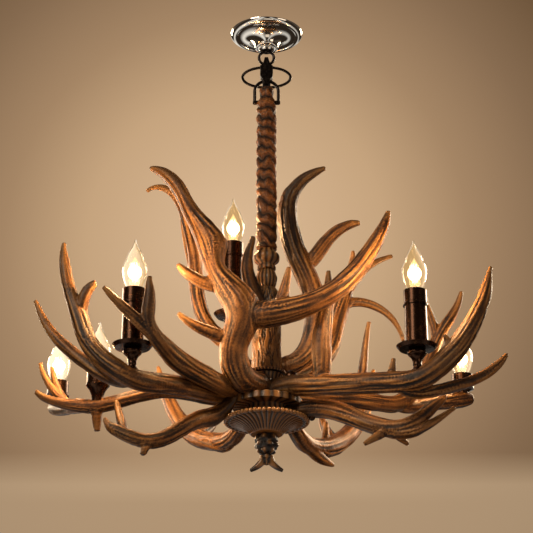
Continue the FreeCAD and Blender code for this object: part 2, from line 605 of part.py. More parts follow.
# Each antler: its beam first, from the hub out, then its tines from inside the beam.
# A point is (right, back, height over the hub centre, radius).
ANTLERS = {
    "antler_front_upper": [
        [(-6, -10, 2, 15), (-22, -34, 4, 18), (-42, -56, 16, 19), (-48, -68, 42, 19), (-40, -76, 70, 21),
         (-34, -82, 100, 24), (-54, -84, 132, 20), (-77, -82, 178, 16), (-104, -79, 244, 13.5),
         (-134, -69, 303, 10.5), (-160, -57, 333, 7), (-176, -49, 342, 3)],
        [(-30, -80, 92, 18), (8, -86, 93, 18.5), (50, -90, 102, 16), (113, -92, 138, 14), (158, -88, 200, 10.5),
         (175, -83, 236, 7), (181, -80, 257, 3)],
        [(-62, -82, 138, 11), (-92, -84, 142, 9), (-116, -88, 155, 7), (-130, -90, 168, 3)],
        [(20, -86, 98, 12), (24, -88, 118, 9), (29, -90, 142, 6), (33, -92, 163, 3)],
        [(-42, -73, 58, 9), (-68, -78, 62, 9), (-103, -86, 74, 7), (-128, -92, 91, 3)],
    ],
    "antler_front_left": [
        [(-8, -4, -2, 11), (-36, -16, -2, 11), (-62, -46, -4, 13), (-98, -88, 2, 14), (-125, -125, 8, 14),
         (-146, -164, 18, 11.5), (-163, -185, 38, 9.5), (-164, -192, 66, 8.5), (-163, -195, 90, 6),
         (-163, -195, 107, 2.8)],
        [(-158, -176, 26, 9), (-190, -194, 53, 7.5), (-211, -200, 72, 5.5), (-227, -205, 88, 2.8)],
    ],
    "antler_left_lower": [
        [(-8, 1, -2, 11), (-38, 6, -2, 11), (-70, -18, -8, 12), (-110, -66, -14, 13), (-150, -113, -23, 13.5),
         (-188, -150, -27, 13.5), (-228, -152, -1, 13), (-253, -146, 32, 12), (-266, -141, 70, 11),
         (-278, -136, 100, 9.5), (-288, -132, 135, 8), (-293, -128, 168, 5.5), (-293, -126, 187, 2.8)],
        [(-264, -140, 66, 8), (-261, -143, 90, 8), (-254, -146, 107, 7), (-243, -148, 116, 4)],
        [(-186, -148, -30, 8), (-220, -136, -22, 9), (-268, -122, 14, 8.5), (-300, -110, 46, 7.5),
         (-324, -101, 84, 5), (-335, -95, 109, 2.8)],
    ],
    "antler_left": [
        [(-6, 6, 0, 10), (-28, 25, 0, 10), (-60, 30, -1, 10), (-100, 12, 0, 10), (-142, -2, 2, 9.5),
         (-200, -4, -9, 9), (-249, 0, -20, 10), (-292, 0, -18, 8), (-319, -4, -12, 6), (-340, -10, 0, 2.8)],
        [(-249, 0, -22, 8), (-249, 4, -42, 6.5), (-248, 6, -57, 4)],
        [(-266, 4, -18, 8.5), (-288, 48, -6, 10), (-306, 100, 10, 11), (-325, 150, 26, 12), (-331, 166, 29, 9)],
        [(-292, 56, -4, 7), (-322, 56, 24, 6), (-336, 53, 46, 4), (-342, 50, 64, 2.8)],
        [(-300, 80, 4, 7), (-319, 72, 36, 5), (-326, 68, 64, 2.8)],
    ],
    "antler_left_low": [
        [(-12, -4, -30, 9), (-62, -16, -30, 11), (-98, -30, -50, 12), (-134, -45, -76, 11),
         (-171, -50, -89, 10), (-190, -52, -85, 9.5), (-216, -50, -72, 8), (-234, -45, -53, 2.8)],
        [(-171, -50, -90, 7), (-174, -53, -102, 6), (-177, -55, -111, 3.5)],
        [(-205, -51, -78, 6.5), (-213, -28, -44, 6), (-220, -8, -14, 4), (-222, 0, 4, 2.8)],
    ],
    "antler_right_lower": [
        [(8, -8, 0, 13), (28, -26, 0, 15), (63, -50, -4, 14.5), (119, -92, -17, 14), (174, -128, -26, 14),
         (211, -150, -29, 14), (250, -152, -2, 14.5), (280, -148, 37, 13), (303, -142, 80, 10),
         (316, -136, 118, 7), (323, -130, 148, 2.8)],
        [(76, -60, -6, 11), (80, -64, 29, 13), (82, -66, 75, 12.5), (88, -65, 112, 9), (91, -62, 145, 6),
         (92, -60, 170, 2.8)],
        [(174, -128, -20, 7), (177, -134, -8, 5), (179, -138, 6, 2.8)],
        [(258, -152, 8, 8), (256, -155, 22, 5.5), (249, -158, 34, 2.8)],
        [(184, -135, -32, 8), (222, -137, -44, 8.5), (256, -131, -35, 8), (299, -120, -17, 7),
         (333, -110, 10, 5), (343, -105, 24, 2.8)],
    ],
    "antler_right_low": [
        [(12, -3, -30, 9), (58, -16, -30, 12), (92, -34, -36, 13), (134, -56, -59, 12.5),
         (169, -74, -76, 12), (198, -84, -77, 11), (226, -85, -58, 9), (246, -80, -40, 6), (256, -76, -30, 2.8)],
        [(172, -76, -82, 8), (198, -87, -88, 7.5), (231, -95, -77, 5.5), (267, -100, -54, 2.8)],
        [(172, -75, -80, 7), (152, -82, -94, 5), (138, -86, -104, 2.8)],
        [(178, -72, -82, 6), (192, -64, -90, 4.5), (202, -58, -96, 2.8)],
    ],
    "antler_right_rear": [
        [(8, 6, 2, 11), (30, 22, 4, 11.5), (75, 44, 9, 12), (125, 68, 13, 12), (172, 92, 14, 12),
         (206, 112, 22, 12), (230, 122, 52, 11.5), (248, 128, 86, 11), (262, 131, 120, 9.5),
         (276, 131, 148, 8), (294, 133, 176, 6.5), (304, 133, 198, 4.5), (308, 132, 212, 2.8)],
        [(266, 131, 130, 7), (257, 132, 172, 6), (250, 131, 198, 4), (248, 130, 214, 2.8)],
        [(198, 108, 18, 8.5), (234, 132, 22, 9.5), (268, 152, 34, 10.5), (308, 172, 46, 11.5),
         (322, 178, 50, 8)],
        [(135, 72, 14, 8), (144, 76, 48, 7.5), (151, 80, 100, 5), (158, 82, 142, 2.8)],
    ],
    "antler_rear_right_low": [
        [(8, 10, -30, 9), (38, 50, -30, 10.5), (52, 84, -46, 12), (84, 136, -44, 14), (118, 186, -16, 14),
         (148, 226, 30, 12), (166, 248, 84, 8), (174, 256, 124, 2.8)],
        [(56, 92, -46, 9), (76, 118, -60, 8.5), (91, 131, -67, 6), (103, 140, -70, 2.8)],
        [(86, 138, -44, 7), (91, 148, -20, 5.5), (92, 152, 2, 3.5)],
        [(114, 180, -18, 9), (98, 220, 4, 8), (88, 244, 40, 5.5), (84, 254, 70, 2.8)],
    ],
    "antler_rear_left_low": [
        [(-8, 10, -30, 9), (-36, 50, -30, 10.5), (-50, 84, -42, 12), (-84, 134, -34, 13), (-118, 182, -6, 13),
         (-146, 222, 42, 11), (-166, 244, 92, 7.5), (-176, 252, 128, 2.8)],
        [(-52, 90, -42, 9), (-68, 112, -48, 8.5), (-88, 122, -42, 6), (-105, 130, -34, 2.8)],
        [(-112, 174, -10, 8), (-92, 214, 10, 7.5), (-78, 238, 44, 5), (-72, 246, 72, 2.8)],
    ],
    "antler_right_upper": [
        [(6, 4, 46, 11), (32, 18, 50, 12), (61, 28, 77, 13.5), (72, 32, 115, 14.5), (73, 34, 160, 15.5),
         (56, 30, 209, 16), (41, 26, 247, 15), (34, 24, 280, 14), (34, 22, 314, 12.5), (46, 20, 342, 10),
         (68, 18, 362, 7), (92, 16, 373, 3)],
        [(58, 30, 212, 10), (90, 34, 254, 9.5), (112, 36, 277, 8), (132, 37, 287, 6), (145, 38, 289, 3)],
    ],
    "antler_right_rear_upper": [
        [(6, 12, 34, 9), (22, 38, 32, 11), (60, 58, 54, 12), (95, 76, 92, 12), (108, 86, 140, 12),
         (122, 95, 188, 10.5), (130, 95, 225, 7), (135, 93, 250, 4.5), (136, 93, 265, 2.8)],
        [(121, 95, 186, 7), (143, 98, 224, 6.5), (161, 100, 242, 5.5), (182, 101, 254, 4), (198, 102, 260, 2.8)],
        [(112, 90, 162, 7), (138, 96, 180, 7), (166, 100, 176, 6), (197, 105, 154, 4.5),
         (212, 108, 120, 2.8)],
    ],
    "antler_left_rear_upper": [
        [(-6, 6, 40, 10), (-24, 24, 46, 11), (-42, 48, 76, 12), (-56, 62, 99, 12.5), (-86, 68, 126, 11),
         (-102, 70, 162, 11), (-108, 66, 198, 10.5), (-110, 60, 234, 10), (-119, 46, 280, 9),
         (-132, 34, 316, 7), (-148, 26, 336, 5.5), (-166, 18, 341, 4), (-184, 10, 330, 2.8)],
        [(-108, 66, 196, 7), (-117, 66, 236, 6.5), (-126, 63, 271, 4.5), (-132, 60, 304, 2.8)],
    ],
    "antler_stem": [
        [(-2, -8, 118, 8), (-12, -24, 132, 10), (-24, -30, 160, 10), (-29, -31, 187, 8.5),
         (-26, -29, 215, 5.5), (-20, -26, 239, 2.8)],
    ],
}

# Each candle: right, back, height of its foot over the hub centre, style, extra tube height.
CANDLES = [
    ("front_left", -188, -150, -16, "tall", 0.0),
    ("front_right", 211, -150, -18, "tall", 0.0),
    ("rear_upper", -52, 60, 109, "tall", 33.0),
    ("left", -249, 0, -13, "short", 24.0),
    ("rear_left", -325, 150, 36, "short", 8.0),
    ("rear_right", 308, 172, 55, "short", 8.0),
]
FOOT_RADIUS = 9.0

# Cap nuts: right, back, height of the dome's centre over the hub centre, radius, up or down.
CAP_NUTS = [(36, -33, 14.0, 9.5, 1), (-34, 27, 9.0, 9.5, 1), (66, -20, -44.0, 5.0, -1)]


def solid_form(label):
    """The finished shape of a node made earlier."""
    return next(item for item in nodes if item.Label == label).Shape


def balls(branches):
    """Balls that fill the horns of an antler: its points, and three between each two."""
    filling = []
    for branch in branches:
        places = [reach(point) for point in branch]
        for (start, wide), (end, narrow) in zip(places, places[1:]):
            for step in range(4):
                share = step / 4.0
                filling.append((start + (end - start) * share, wide + (narrow - wide) * share))
        filling.append(places[-1])
    return filling


def close(first, second):
    """Tell whether two antlers come near enough to touch."""
    others = balls(second)
    for place, radius in balls(first):
        for other, wide in others:
            if place.distanceToPoint(other) < radius + wide + 7.0:
                return True
    return False


def coped(form, other):
    """Cut another piece out of the form, where the two overlap."""
    overlap = form.common(other)
    if overlap.isNull() or overlap.Volume < 1.0:
        return form
    return form.cut(other)


def make_antlers():
    """Shape each antler, then cope its root to the hub and to the antlers set before it."""
    hub = [solid_form(label) for label in (
        "column", "beaded_collar", "waist", "bowl", "stem_core")]
    scale = size("antler_span") / 700.0
    placed = []
    for label, branches in ANTLERS.items():
        form = antler_form(branches)
        cutters = [piece for piece in hub if form.BoundBox.intersect(piece.BoundBox)]
        cutters += [other for name, other in placed if close(branches, ANTLERS[name])]
        for _, x, y, foot, _, _ in CANDLES:
            base = Vector(x * scale, y * scale, foot * scale - size("hub_drop"))
            if form.BoundBox.isInside(base):
                cutters.append(Part.makeCylinder(FOOT_RADIUS + 1.5, 60, base))
        for cutter in cutters:
            form = coped(form, cutter)
        form = max(form.Solids, key=lambda solid: solid.Volume)
        placed.append((label, form))
        item = doc.addObject("Part::Feature", label)
        item.Shape = form
        keep(item, label)


def make_prongs():
    """Two horns and a short middle tip under the finial."""
    low = -size("finial_bottom")
    end = -size("prong_bottom")
    out = size("prong_reach")
    forms = [Part.makeCylinder(9.0, 5.0, Vector(0, 0, low - 5.0))]
    for sign in (1, -1):
        forms.append(horn([
            (Vector(sign * 4.0, 0, low - 1.0), 6.4), (Vector(sign * 7.0, 0, low - 9.0), 5.8),
            (Vector(sign * (out - 11.0), 0, end + 8.5), 4.8), (Vector(sign * out, 0, end + 1.5), 2.8)]))
    forms.append(Part.makeCone(6.0, 2.5, 14.0, Vector(0, 0, low), Vector(0, 0, -1)))
    whole = forms[0].fuse(forms[1:])
    top = Part.makeBox(60, 60, 20, Vector(-30, -30, low))
    item = doc.addObject("Part::Feature", "prongs")
    item.Shape = whole.cut(top)
    keep(item, "prongs")


def make_cap_nuts():
    """Domed nuts on the bolts that hold the antler roots, each seated on its antler."""
    antlers = [solid_form(label) for label in ANTLERS] + [solid_form("waist")]
    forms = []
    for x, y, height, radius, side in CAP_NUTS:
        seat = Vector(x, y, height - size("hub_drop"))
        skirt = radius * 0.6
        form = Part.makeCylinder(radius, skirt, seat - Vector(0, 0, skirt * side), Vector(0, 0, side))
        form = form.fuse(Part.makeSphere(radius, seat, Vector(0, 0, side), 0, 90, 360))
        for antler in antlers:
            if form.BoundBox.intersect(antler.BoundBox):
                form = coped(form, antler)
        forms.append(max(form.Solids, key=lambda solid: solid.Volume))
    item = doc.addObject("Part::Feature", "cap_nuts")
    item.Shape = Part.makeCompound(forms)
    keep(item, "cap_nuts")


# ---------------------------------------------------------------- candles
def make_stand(name, x, y, lift, extra):
    """A vase that opens into a drip dish, and the tube that stands in it."""
    vase = turned("vase_" + name, "hub_drop", [
        ("0", "0"), ("9.0", "0"), ("9.0", "2.0", 0.2), ("6.5", "vase_height * 0.3", 0.14),
        ("12.0", "vase_height * 0.72", -0.25), ("11.0", "vase_height - 1.0"),
        ("dish_radius - 4.0", "vase_height"), ("dish_radius", "vase_height + dish_thick"),
        ("dish_radius - 2.0", "vase_height + dish_thick"), ("dish_radius - 6.0", "vase_height + dish_floor"),
        ("0", "vase_height + dish_floor")])
    set_place(vase, x, y, "hub_drop", lift)
    keep(vase, "vase_" + name)
    top = "tube_height + %.1f" % extra
    tube = turned("tube_" + name, "hub_drop", [
        ("tube_radius - tube_wall", "0"), ("tube_radius + 0.6", "0"), ("tube_radius - 0.4", top),
        ("tube_radius - tube_wall", top)])
    set_place(tube, x, y, "hub_drop", lift + worked("vase_height + dish_floor"))
    keep(tube, "tube_" + name)
    return lift + worked("vase_height + dish_floor") + worked(top)


def make_cup(name, x, y, lift, stalk):
    """The open cup round the socket. On a short candle it stands on a stalk of that height."""
    corners = [("0", "0")]
    if stalk:
        corners += [("8.5", "0"), ("8.5", "2.0", 0.1)]
    corners += [
        ("cup_radius + 1.3", "%g" % stalk), ("cup_radius + 1.3", "%g" % (stalk + 2.5)),
        ("cup_radius", "%g" % (stalk + 4.0)), ("cup_radius", "%g + cup_height" % stalk),
        ("cup_radius - cup_wall", "%g + cup_height" % stalk), ("cup_radius - cup_wall", "%g + cup_floor" % stalk),
        ("0", "%g + cup_floor" % stalk)]
    cup = turned("cup_" + name, "hub_drop", corners)
    set_place(cup, x, y, "hub_drop", lift)
    keep(cup, "cup_" + name)


def make_bulb(name, x, y, lift):
    """A candle bulb: its metal cap, and the clear glass drawn out to a flame tip."""
    cap = turned("bulb_cap_" + name, "hub_drop", [
        ("0", "0"), ("3.0", "0"), ("4.5", "2.0"), ("cap_radius", "3.0"),
        ("cap_radius", "cap_height"), ("0", "cap_height")])
    set_place(cap, x, y, "hub_drop", lift)
    keep(cap, "bulb_cap_" + name)
    glass = turned("bulb_glass_" + name, "hub_drop", [
        ("5.2", "0"), ("6.4", "0"), ("10.6", "8.0", -0.06), ("bulb_radius", "29.0", -0.1),
        ("13.2", "bulb_height - 28.0", -0.05), ("4.4", "bulb_height - 7.0", 0.04),
        ("1.5", "bulb_height + 3.0"), ("0", "bulb_height + 5.0"), ("0", "bulb_height + 2.5"),
        ("3.4", "bulb_height - 8.0", 0.05), ("13.2 - glass_wall", "bulb_height - 28.5", 0.1),
        ("bulb_radius - glass_wall", "29.0", 0.06), ("10.6 - glass_wall", "8.4")])
    set_place(glass, x, y, "hub_drop", lift + size("cap_height"))
    keep(glass, "bulb_glass_" + name)


def make_candles():
    """Six candles: tall ones on a vase, dish and tube, short ones in a cup on a stalk."""
    sockets = []
    scale = size("antler_span") / 700.0
    for name, right, back, foot, style, extra in CANDLES:
        x = right * scale
        y = back * scale
        lift = foot * scale
        stalk = 0.0
        if style == "tall":
            lift = make_stand(name, x, y, lift, extra)
        else:
            stalk = extra
        make_cup(name, x, y, lift, stalk)
        floor = lift + stalk + size("cup_floor")
        place = Vector(x, y, floor - size("hub_drop"))
        well = Part.makeCylinder(size("cap_radius") + 0.3, 9.0, place + Vector(0, 0, 1.5))
        sockets.append(Part.makeCylinder(size("socket_radius"), size("socket_height"), place).cut(well))
        make_bulb(name, x, y, floor + 1.8)
    item = doc.addObject("Part::Feature", "lamp_sockets")
    item.Shape = Part.makeCompound(sockets)
    keep(item, "lamp_sockets")


# ---------------------------------------------------------------- build and write
def check_document():
    for item in doc.Objects:
        if "Invalid" in item.State or "Error" in item.State:
            raise RuntimeError("%s: %s" % (item.Label, item.State))
    for item in nodes:
        if item.Shape.isNull() or not item.Shape.isValid():
            raise RuntimeError("%s has no valid shape" % item.Label)


make_ceiling_gear()
make_hook()
make_ring()
make_shackle()
make_stem()
make_waist()
make_bowl()
make_finial()
doc.recompute()
make_prongs()
make_antlers()
make_cap_nuts()
make_candles()
doc.recompute()
check_document()
os.makedirs("parts", exist_ok=True)
for item in nodes:
    item.Shape.exportStep("parts/%s.step" % item.Label)
print(len(nodes), "nodes")
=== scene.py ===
"""Looks of the antler chandelier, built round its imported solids.

Metres, +Z up, the origin in the ceiling plane on the hanging axis, the front facing -Y.
Each class below dresses one sub-assembly: it takes the solids it stands for from the
frame, gives them an even mesh, works the surface and hands it a procedural finish."""

import logging
import math
from dataclasses import dataclass, field
from enum import Enum
from typing import Callable

import bmesh
import bpy
import numpy as np
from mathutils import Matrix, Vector, noise
from mathutils.bvhtree import BVHTree
from mathutils.kdtree import KDTree


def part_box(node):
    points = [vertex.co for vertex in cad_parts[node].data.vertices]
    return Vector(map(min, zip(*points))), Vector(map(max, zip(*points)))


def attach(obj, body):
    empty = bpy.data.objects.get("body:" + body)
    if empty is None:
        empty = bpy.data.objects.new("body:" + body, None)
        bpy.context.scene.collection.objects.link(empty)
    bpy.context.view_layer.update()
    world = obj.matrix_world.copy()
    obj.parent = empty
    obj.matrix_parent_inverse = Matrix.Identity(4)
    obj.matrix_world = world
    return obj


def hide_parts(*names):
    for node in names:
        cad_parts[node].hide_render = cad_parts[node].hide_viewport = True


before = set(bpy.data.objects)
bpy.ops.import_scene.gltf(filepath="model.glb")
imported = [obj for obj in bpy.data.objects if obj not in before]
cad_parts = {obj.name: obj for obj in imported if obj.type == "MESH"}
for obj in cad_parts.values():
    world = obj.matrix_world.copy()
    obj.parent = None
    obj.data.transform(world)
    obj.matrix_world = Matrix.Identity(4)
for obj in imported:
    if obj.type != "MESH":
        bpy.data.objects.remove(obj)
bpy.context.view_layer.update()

logging.basicConfig(level=logging.INFO, format="%(message)s")
LOG = logging.getLogger("chandelier")

MM = 0.001
TURN = 2 * math.pi
Colour = tuple[float, float, float]
BLACK: Colour = (0.0, 0.0, 0.0)
# a colour Mix node's factor and colours by place, and its colour output
MIX_INPUTS = (0, 6, 7)
MIX_OUTPUT = 2


# ---------------------------------------------------------------- shader writing
class Socket:
    """One output socket of a shader tree, with arithmetic."""

    def __init__(self, shader: "Shader", link: bpy.types.NodeSocket) -> None:
        """Keep the tree and the socket.

        Args:
            shader: the tree the socket belongs to.
            link: the output socket itself.
        """
        self.shader = shader
        self.link = link

    def _math(self, operation: str, first: "Socket | float", second: "Socket | float") -> "Socket":
        """One Math node on two values."""
        return self.shader.node("ShaderNodeMath", {"operation": operation}, {0: first, 1: second})

    def __add__(self, other: "Socket | float") -> "Socket":
        """Sum."""
        return self._math("ADD", self, other)

    def __radd__(self, other: float) -> "Socket":
        """Sum with a number on the left."""
        return self._math("ADD", other, self)

    def __sub__(self, other: "Socket | float") -> "Socket":
        """Difference."""
        return self._math("SUBTRACT", self, other)

    def __rsub__(self, other: float) -> "Socket":
        """Difference with a number on the left."""
        return self._math("SUBTRACT", other, self)

    def __mul__(self, other: "Socket | float") -> "Socket":
        """Product."""
        return self._math("MULTIPLY", self, other)

    def __rmul__(self, other: float) -> "Socket":
        """Product with a number on the left."""
        return self._math("MULTIPLY", other, self)

    def __pow__(self, other: float) -> "Socket":
        """Power."""
        return self._math("POWER", self, other)


class Shader:
    """A material's node tree, written as expressions."""

    def __init__(self, name: str) -> None:
        """Make an empty material.

        Args:
            name: the material's name.
        """
        self.material = bpy.data.materials.new(name)
        self.material.use_nodes = True
        self.tree = self.material.node_tree
        self.tree.nodes.clear()

    def node(self, kind: str, settings: dict | None = None, inputs: dict | None = None,
             output: int | str = 0) -> Socket:
        """Add a node and return one of its outputs.

        Args:
            kind: the node's type.
            settings: its own properties, set first; "stops" are a colour ramp's.
            inputs: a value or a Socket for each named or numbered input.
            output: which output to return.

        Returns:
            The chosen output.
        """
        made = self.tree.nodes.new(kind)
        for key, value in (settings or {}).items():
            if key == "stops":
                ramp = made.color_ramp
                while len(ramp.elements) < len(value):
                    ramp.elements.new(0.5)
                for element, (place, colour) in zip(ramp.elements, value):
                    element.position = place
                    element.color = (*colour, 1.0)
            else:
                setattr(made, key, value)
        for key, value in (inputs or {}).items():
            if isinstance(value, Socket):
                self.tree.links.new(value.link, made.inputs[key])
            else:
                made.inputs[key].default_value = value
        return Socket(self, made.outputs[output])

    def place(self) -> Socket:
        """The point of the surface, in the object's own metres."""
        return self.node("ShaderNodeTexCoord", output="Object")

    def mark(self, name: str) -> Socket:
        """A number that the mesh carries at each point."""
        return self.node("ShaderNodeAttribute", {"attribute_name": name}, output="Fac")

    def cloud(self, per_metre: float, detail: float = 4.0, rough: float = 0.55) -> Socket:
        """Soft noise from 0 to 1.

        Args:
            per_metre: how many blobs fit in a metre.
            detail: octaves.
            rough: share of each next octave.

        Returns:
            The noise value.
        """
        return self.node("ShaderNodeTexNoise", {"noise_dimensions": "3D"}, {
            "Vector": self.place(), "Scale": per_metre, "Detail": detail, "Roughness": rough})

    def ramp(self, value: Socket, *stops: tuple[float, Colour]) -> Socket:
        """Colour along a value."""
        return self.node("ShaderNodeValToRGB", {"stops": stops}, {"Fac": value}, "Color")

    def spread(self, value: Socket, low: float, high: float,
               start: float = 0.0, end: float = 1.0) -> Socket:
        """A value's range from low to high, carried to start to end and held there."""
        return self.node("ShaderNodeMapRange", {"clamp": True}, {
            "Value": value, "From Min": low, "From Max": high, "To Min": start, "To Max": end})

    def blend(self, share: Socket, first: Socket | Colour, second: Socket | Colour) -> Socket:
        """Mix two colours.

        Args:
            share: 0 for the first, 1 for the second.
            first: a colour or a Socket.
            second: a colour or a Socket.

        Returns:
            The mixed colour.
        """
        first, second = (c if isinstance(c, Socket) else (*c, 1.0) for c in (first, second))
        inputs = dict(zip(MIX_INPUTS, (share, first, second)))
        return self.node("ShaderNodeMix", {"data_type": "RGBA"}, inputs, MIX_OUTPUT)

    def bump(self, height: Socket, depth: float, strength: float) -> Socket:
        """Normal from a height.

        Args:
            height: 0 to 1.
            depth: what 1 is worth, in metres.
            strength: share of the effect.

        Returns:
            The normal.
        """
        return self.node("ShaderNodeBump", inputs={
            "Strength": strength, "Distance": depth, "Height": height})

    def principled(self, inputs: dict) -> Socket:
        """A Principled shader."""
        return self.node("ShaderNodeBsdfPrincipled", inputs=inputs)

    def close(self, surface: Socket) -> bpy.types.Material:
        """Send a shader to the output and return the material."""
        made = self.tree.nodes.new("ShaderNodeOutputMaterial")
        self.tree.links.new(surface.link, made.inputs["Surface"])
        return self.material


# ---------------------------------------------------------------- finishes
@dataclass(frozen=True)
class AntlerFinish:
    """Cast antler: umber in the grooves, tan on the ridges, polished and paler at the tips, with
    painted shade that darkens it near the hub.
    """

    groove: Colour = (0.007, 0.0025, 0.0008)
    brown: Colour = (0.060, 0.023, 0.006)
    tan: Colour = (0.225, 0.096, 0.025)
    ridge: Colour = (0.500, 0.275, 0.094)
    tip: Colour = (0.400, 0.205, 0.066)
    # colour of random stains, and of the painted shade near the hub
    stain_and_hub_shade: Colour = (0.018, 0.007, 0.002)
    specks_per_metre: float = 900.0
    patches_per_metre: float = 26.0
    pores_per_metre: float = 2600.0
    pore_depth: float = 0.35 * MM
    sheen: float = 0.32

    def material(self) -> bpy.types.Material:
        """Build the material."""
        sh = Shader("antler_resin")
        fine = sh.cloud(self.specks_per_metre, 3.0, 0.6)
        patch = sh.cloud(self.patches_per_metre, 5.0, 0.6)
        level = (sh.mark("grain") - 0.5) * 0.56 + fine * 0.34 + patch * 0.70 - 0.04
        base = sh.ramp(level, (0.24, self.groove), (0.42, self.brown),
                       (0.60, self.tan), (0.84, self.ridge))
        base = sh.blend(sh.spread(sh.mark("thin"), 0.35, 0.9, 0.0, 0.7), base, self.tip)
        base = sh.blend(sh.spread(patch, 0.52, 0.66, 0.0, 0.6), base, self.stain_and_hub_shade)
        base = sh.blend(sh.spread(sh.mark("crack"), 0.25, 0.85, 0.0, 0.92), base, self.groove)
        # painted shade: darker where the antler meets the hub
        base = sh.blend(sh.mark("root") * 0.8, base, self.stain_and_hub_shade)
        pores = fine * 0.5 + sh.cloud(self.pores_per_metre, 2.0) * 0.5
        return sh.close(sh.principled({
            "Base Color": base, "Roughness": sh.spread(level, 0.2, 0.9, 0.56, 0.36),
            "Normal": sh.bump(pores, self.pore_depth, 0.7), "Specular IOR Level": self.sheen}))


@dataclass(frozen=True)
class CarvedFinish:
    """Cast resin carving: dark umber in the hollows, rubbed golden brown on what stands out."""

    hollow: Colour = (0.007, 0.003, 0.0015)
    body: Colour = (0.040, 0.017, 0.006)
    rubbed: Colour = (0.290, 0.140, 0.045)
    specks_per_metre: float = 700.0
    patches_per_metre: float = 45.0
    dull: float = 0.51
    polished: float = 0.28
    speck_depth: float = 0.3 * MM

    def material(self) -> bpy.types.Material:
        """Build the material."""
        sh = Shader("carved_resin")
        fine = sh.cloud(self.specks_per_metre, 4.0, 0.6)
        patch = sh.cloud(self.patches_per_metre, 4.0)
        level = sh.mark("relief") * 0.8 + fine * 0.18 + patch * 0.12
        return sh.close(sh.principled({
            "Base Color": sh.ramp(level, (0.26, self.hollow), (0.62, self.body), (1.0, self.rubbed)),
            "Roughness": sh.spread(level, 0.2, 0.9, self.dull, self.polished),
            "Normal": sh.bump(fine, self.speck_depth, 0.6)}))


@dataclass(frozen=True)
class WrapFinish:
    """Twisted wrap of the stem: warm leather brown, with painted shade dark in the creases, worn on the
    rolls.
    """

    crease_painted_shade: Colour = (0.006, 0.002, 0.0008)
    body: Colour = (0.078, 0.025, 0.005)
    worn: Colour = (0.290, 0.110, 0.025)
    pores_per_metre: float = 1100.0
    patches_per_metre: float = 60.0
    pore_depth: float = 0.4 * MM
    sheen: float = 0.3

    def material(self) -> bpy.types.Material:
        """Build the material."""
        sh = Shader("wrapped_leather")
        fine = sh.cloud(self.pores_per_metre, 4.0, 0.65)
        patch = sh.cloud(self.patches_per_metre, 4.0)
        level = sh.mark("relief") * 0.62 + fine * 0.24 + patch * 0.30
        # painted shade: the low parts of the relief, between the rolls, take the crease colour
        return sh.close(sh.principled({
            "Base Color": sh.ramp(level, (0.36, self.crease_painted_shade), (0.70, self.body), (1.0, self.worn)),
            "Roughness": sh.spread(level, 0.2, 1.0, 0.62, 0.42), "Specular IOR Level": self.sheen,
            "Normal": sh.bump(fine, self.pore_depth, 0.7)}))


@dataclass(frozen=True)
class MetalFinish:
    """A metal, plated, blackened or bronzed, with its wear and its fine unevenness."""

    name: str
    base: Colour
    worn: Colour
    metallic: float
    rough_low: float
    rough_high: float
    spots_per_metre: float
    wear_from: float
    dent: float
    wear_edge: float = 0.12

    def material(self) -> bpy.types.Material:
        """Build the material."""
        sh = Shader(self.name)
        fine = sh.cloud(self.spots_per_metre * 4.0, 3.0, 0.6)
        patch = sh.cloud(self.spots_per_metre * 0.5, 5.0, 0.6)
        wear = sh.spread(patch * 0.7 + fine * 0.3, self.wear_from, self.wear_from + self.wear_edge)
        return sh.close(sh.principled({
            "Base Color": sh.blend(wear, self.base, self.worn), "Metallic": self.metallic,
            "Roughness": sh.spread(fine * 0.5 + patch * 0.5, 0.3, 0.7, self.rough_low, self.rough_high),
            "Normal": sh.bump(fine * 0.4 + patch * 0.6, self.dent, 0.5)}))


@dataclass(frozen=True)
class GlassFinish:
    """Clear bulb glass, thin, with a faint warm tint and a painted glow in the colour of what burns in
    it.
    """

    tint: Colour = (1.0, 0.965, 0.90)
    shine: Colour = (1.0, 0.62, 0.26)
    bending: float = 1.06
    film_per_metre: float = 40.0

    def material(self) -> bpy.types.Material:
        """Build the material."""
        sh = Shader("clear_glass")
        film = sh.spread(sh.cloud(self.film_per_metre, 3.0), 0.35, 0.75, 0.01, 0.035)
        # painted glow: the glass itself shines faintly, though it is no lamp
        return sh.close(sh.principled({
            "Base Color": (*self.tint, 1.0), "Roughness": film,
            "Transmission Weight": 1.0, "IOR": self.bending, "Coat Weight": 0.6, "Coat Roughness": 0.02,
            "Emission Color": (*self.shine, 1.0), "Emission Strength": 0.14}))


@dataclass(frozen=True)
class GlowFinish:
    """A lit filament, or the painted glow round it."""

    name: str
    colour: Colour
    strength: float
    alpha: float

    def material(self) -> bpy.types.Material:
        """Build the material."""
        sh = Shader(self.name)
        return sh.close(sh.principled({
            "Base Color": (*BLACK, 1.0), "Roughness": 0.5, "Alpha": self.alpha,
            "Emission Color": (*self.colour, 1.0), "Emission Strength": self.strength}))


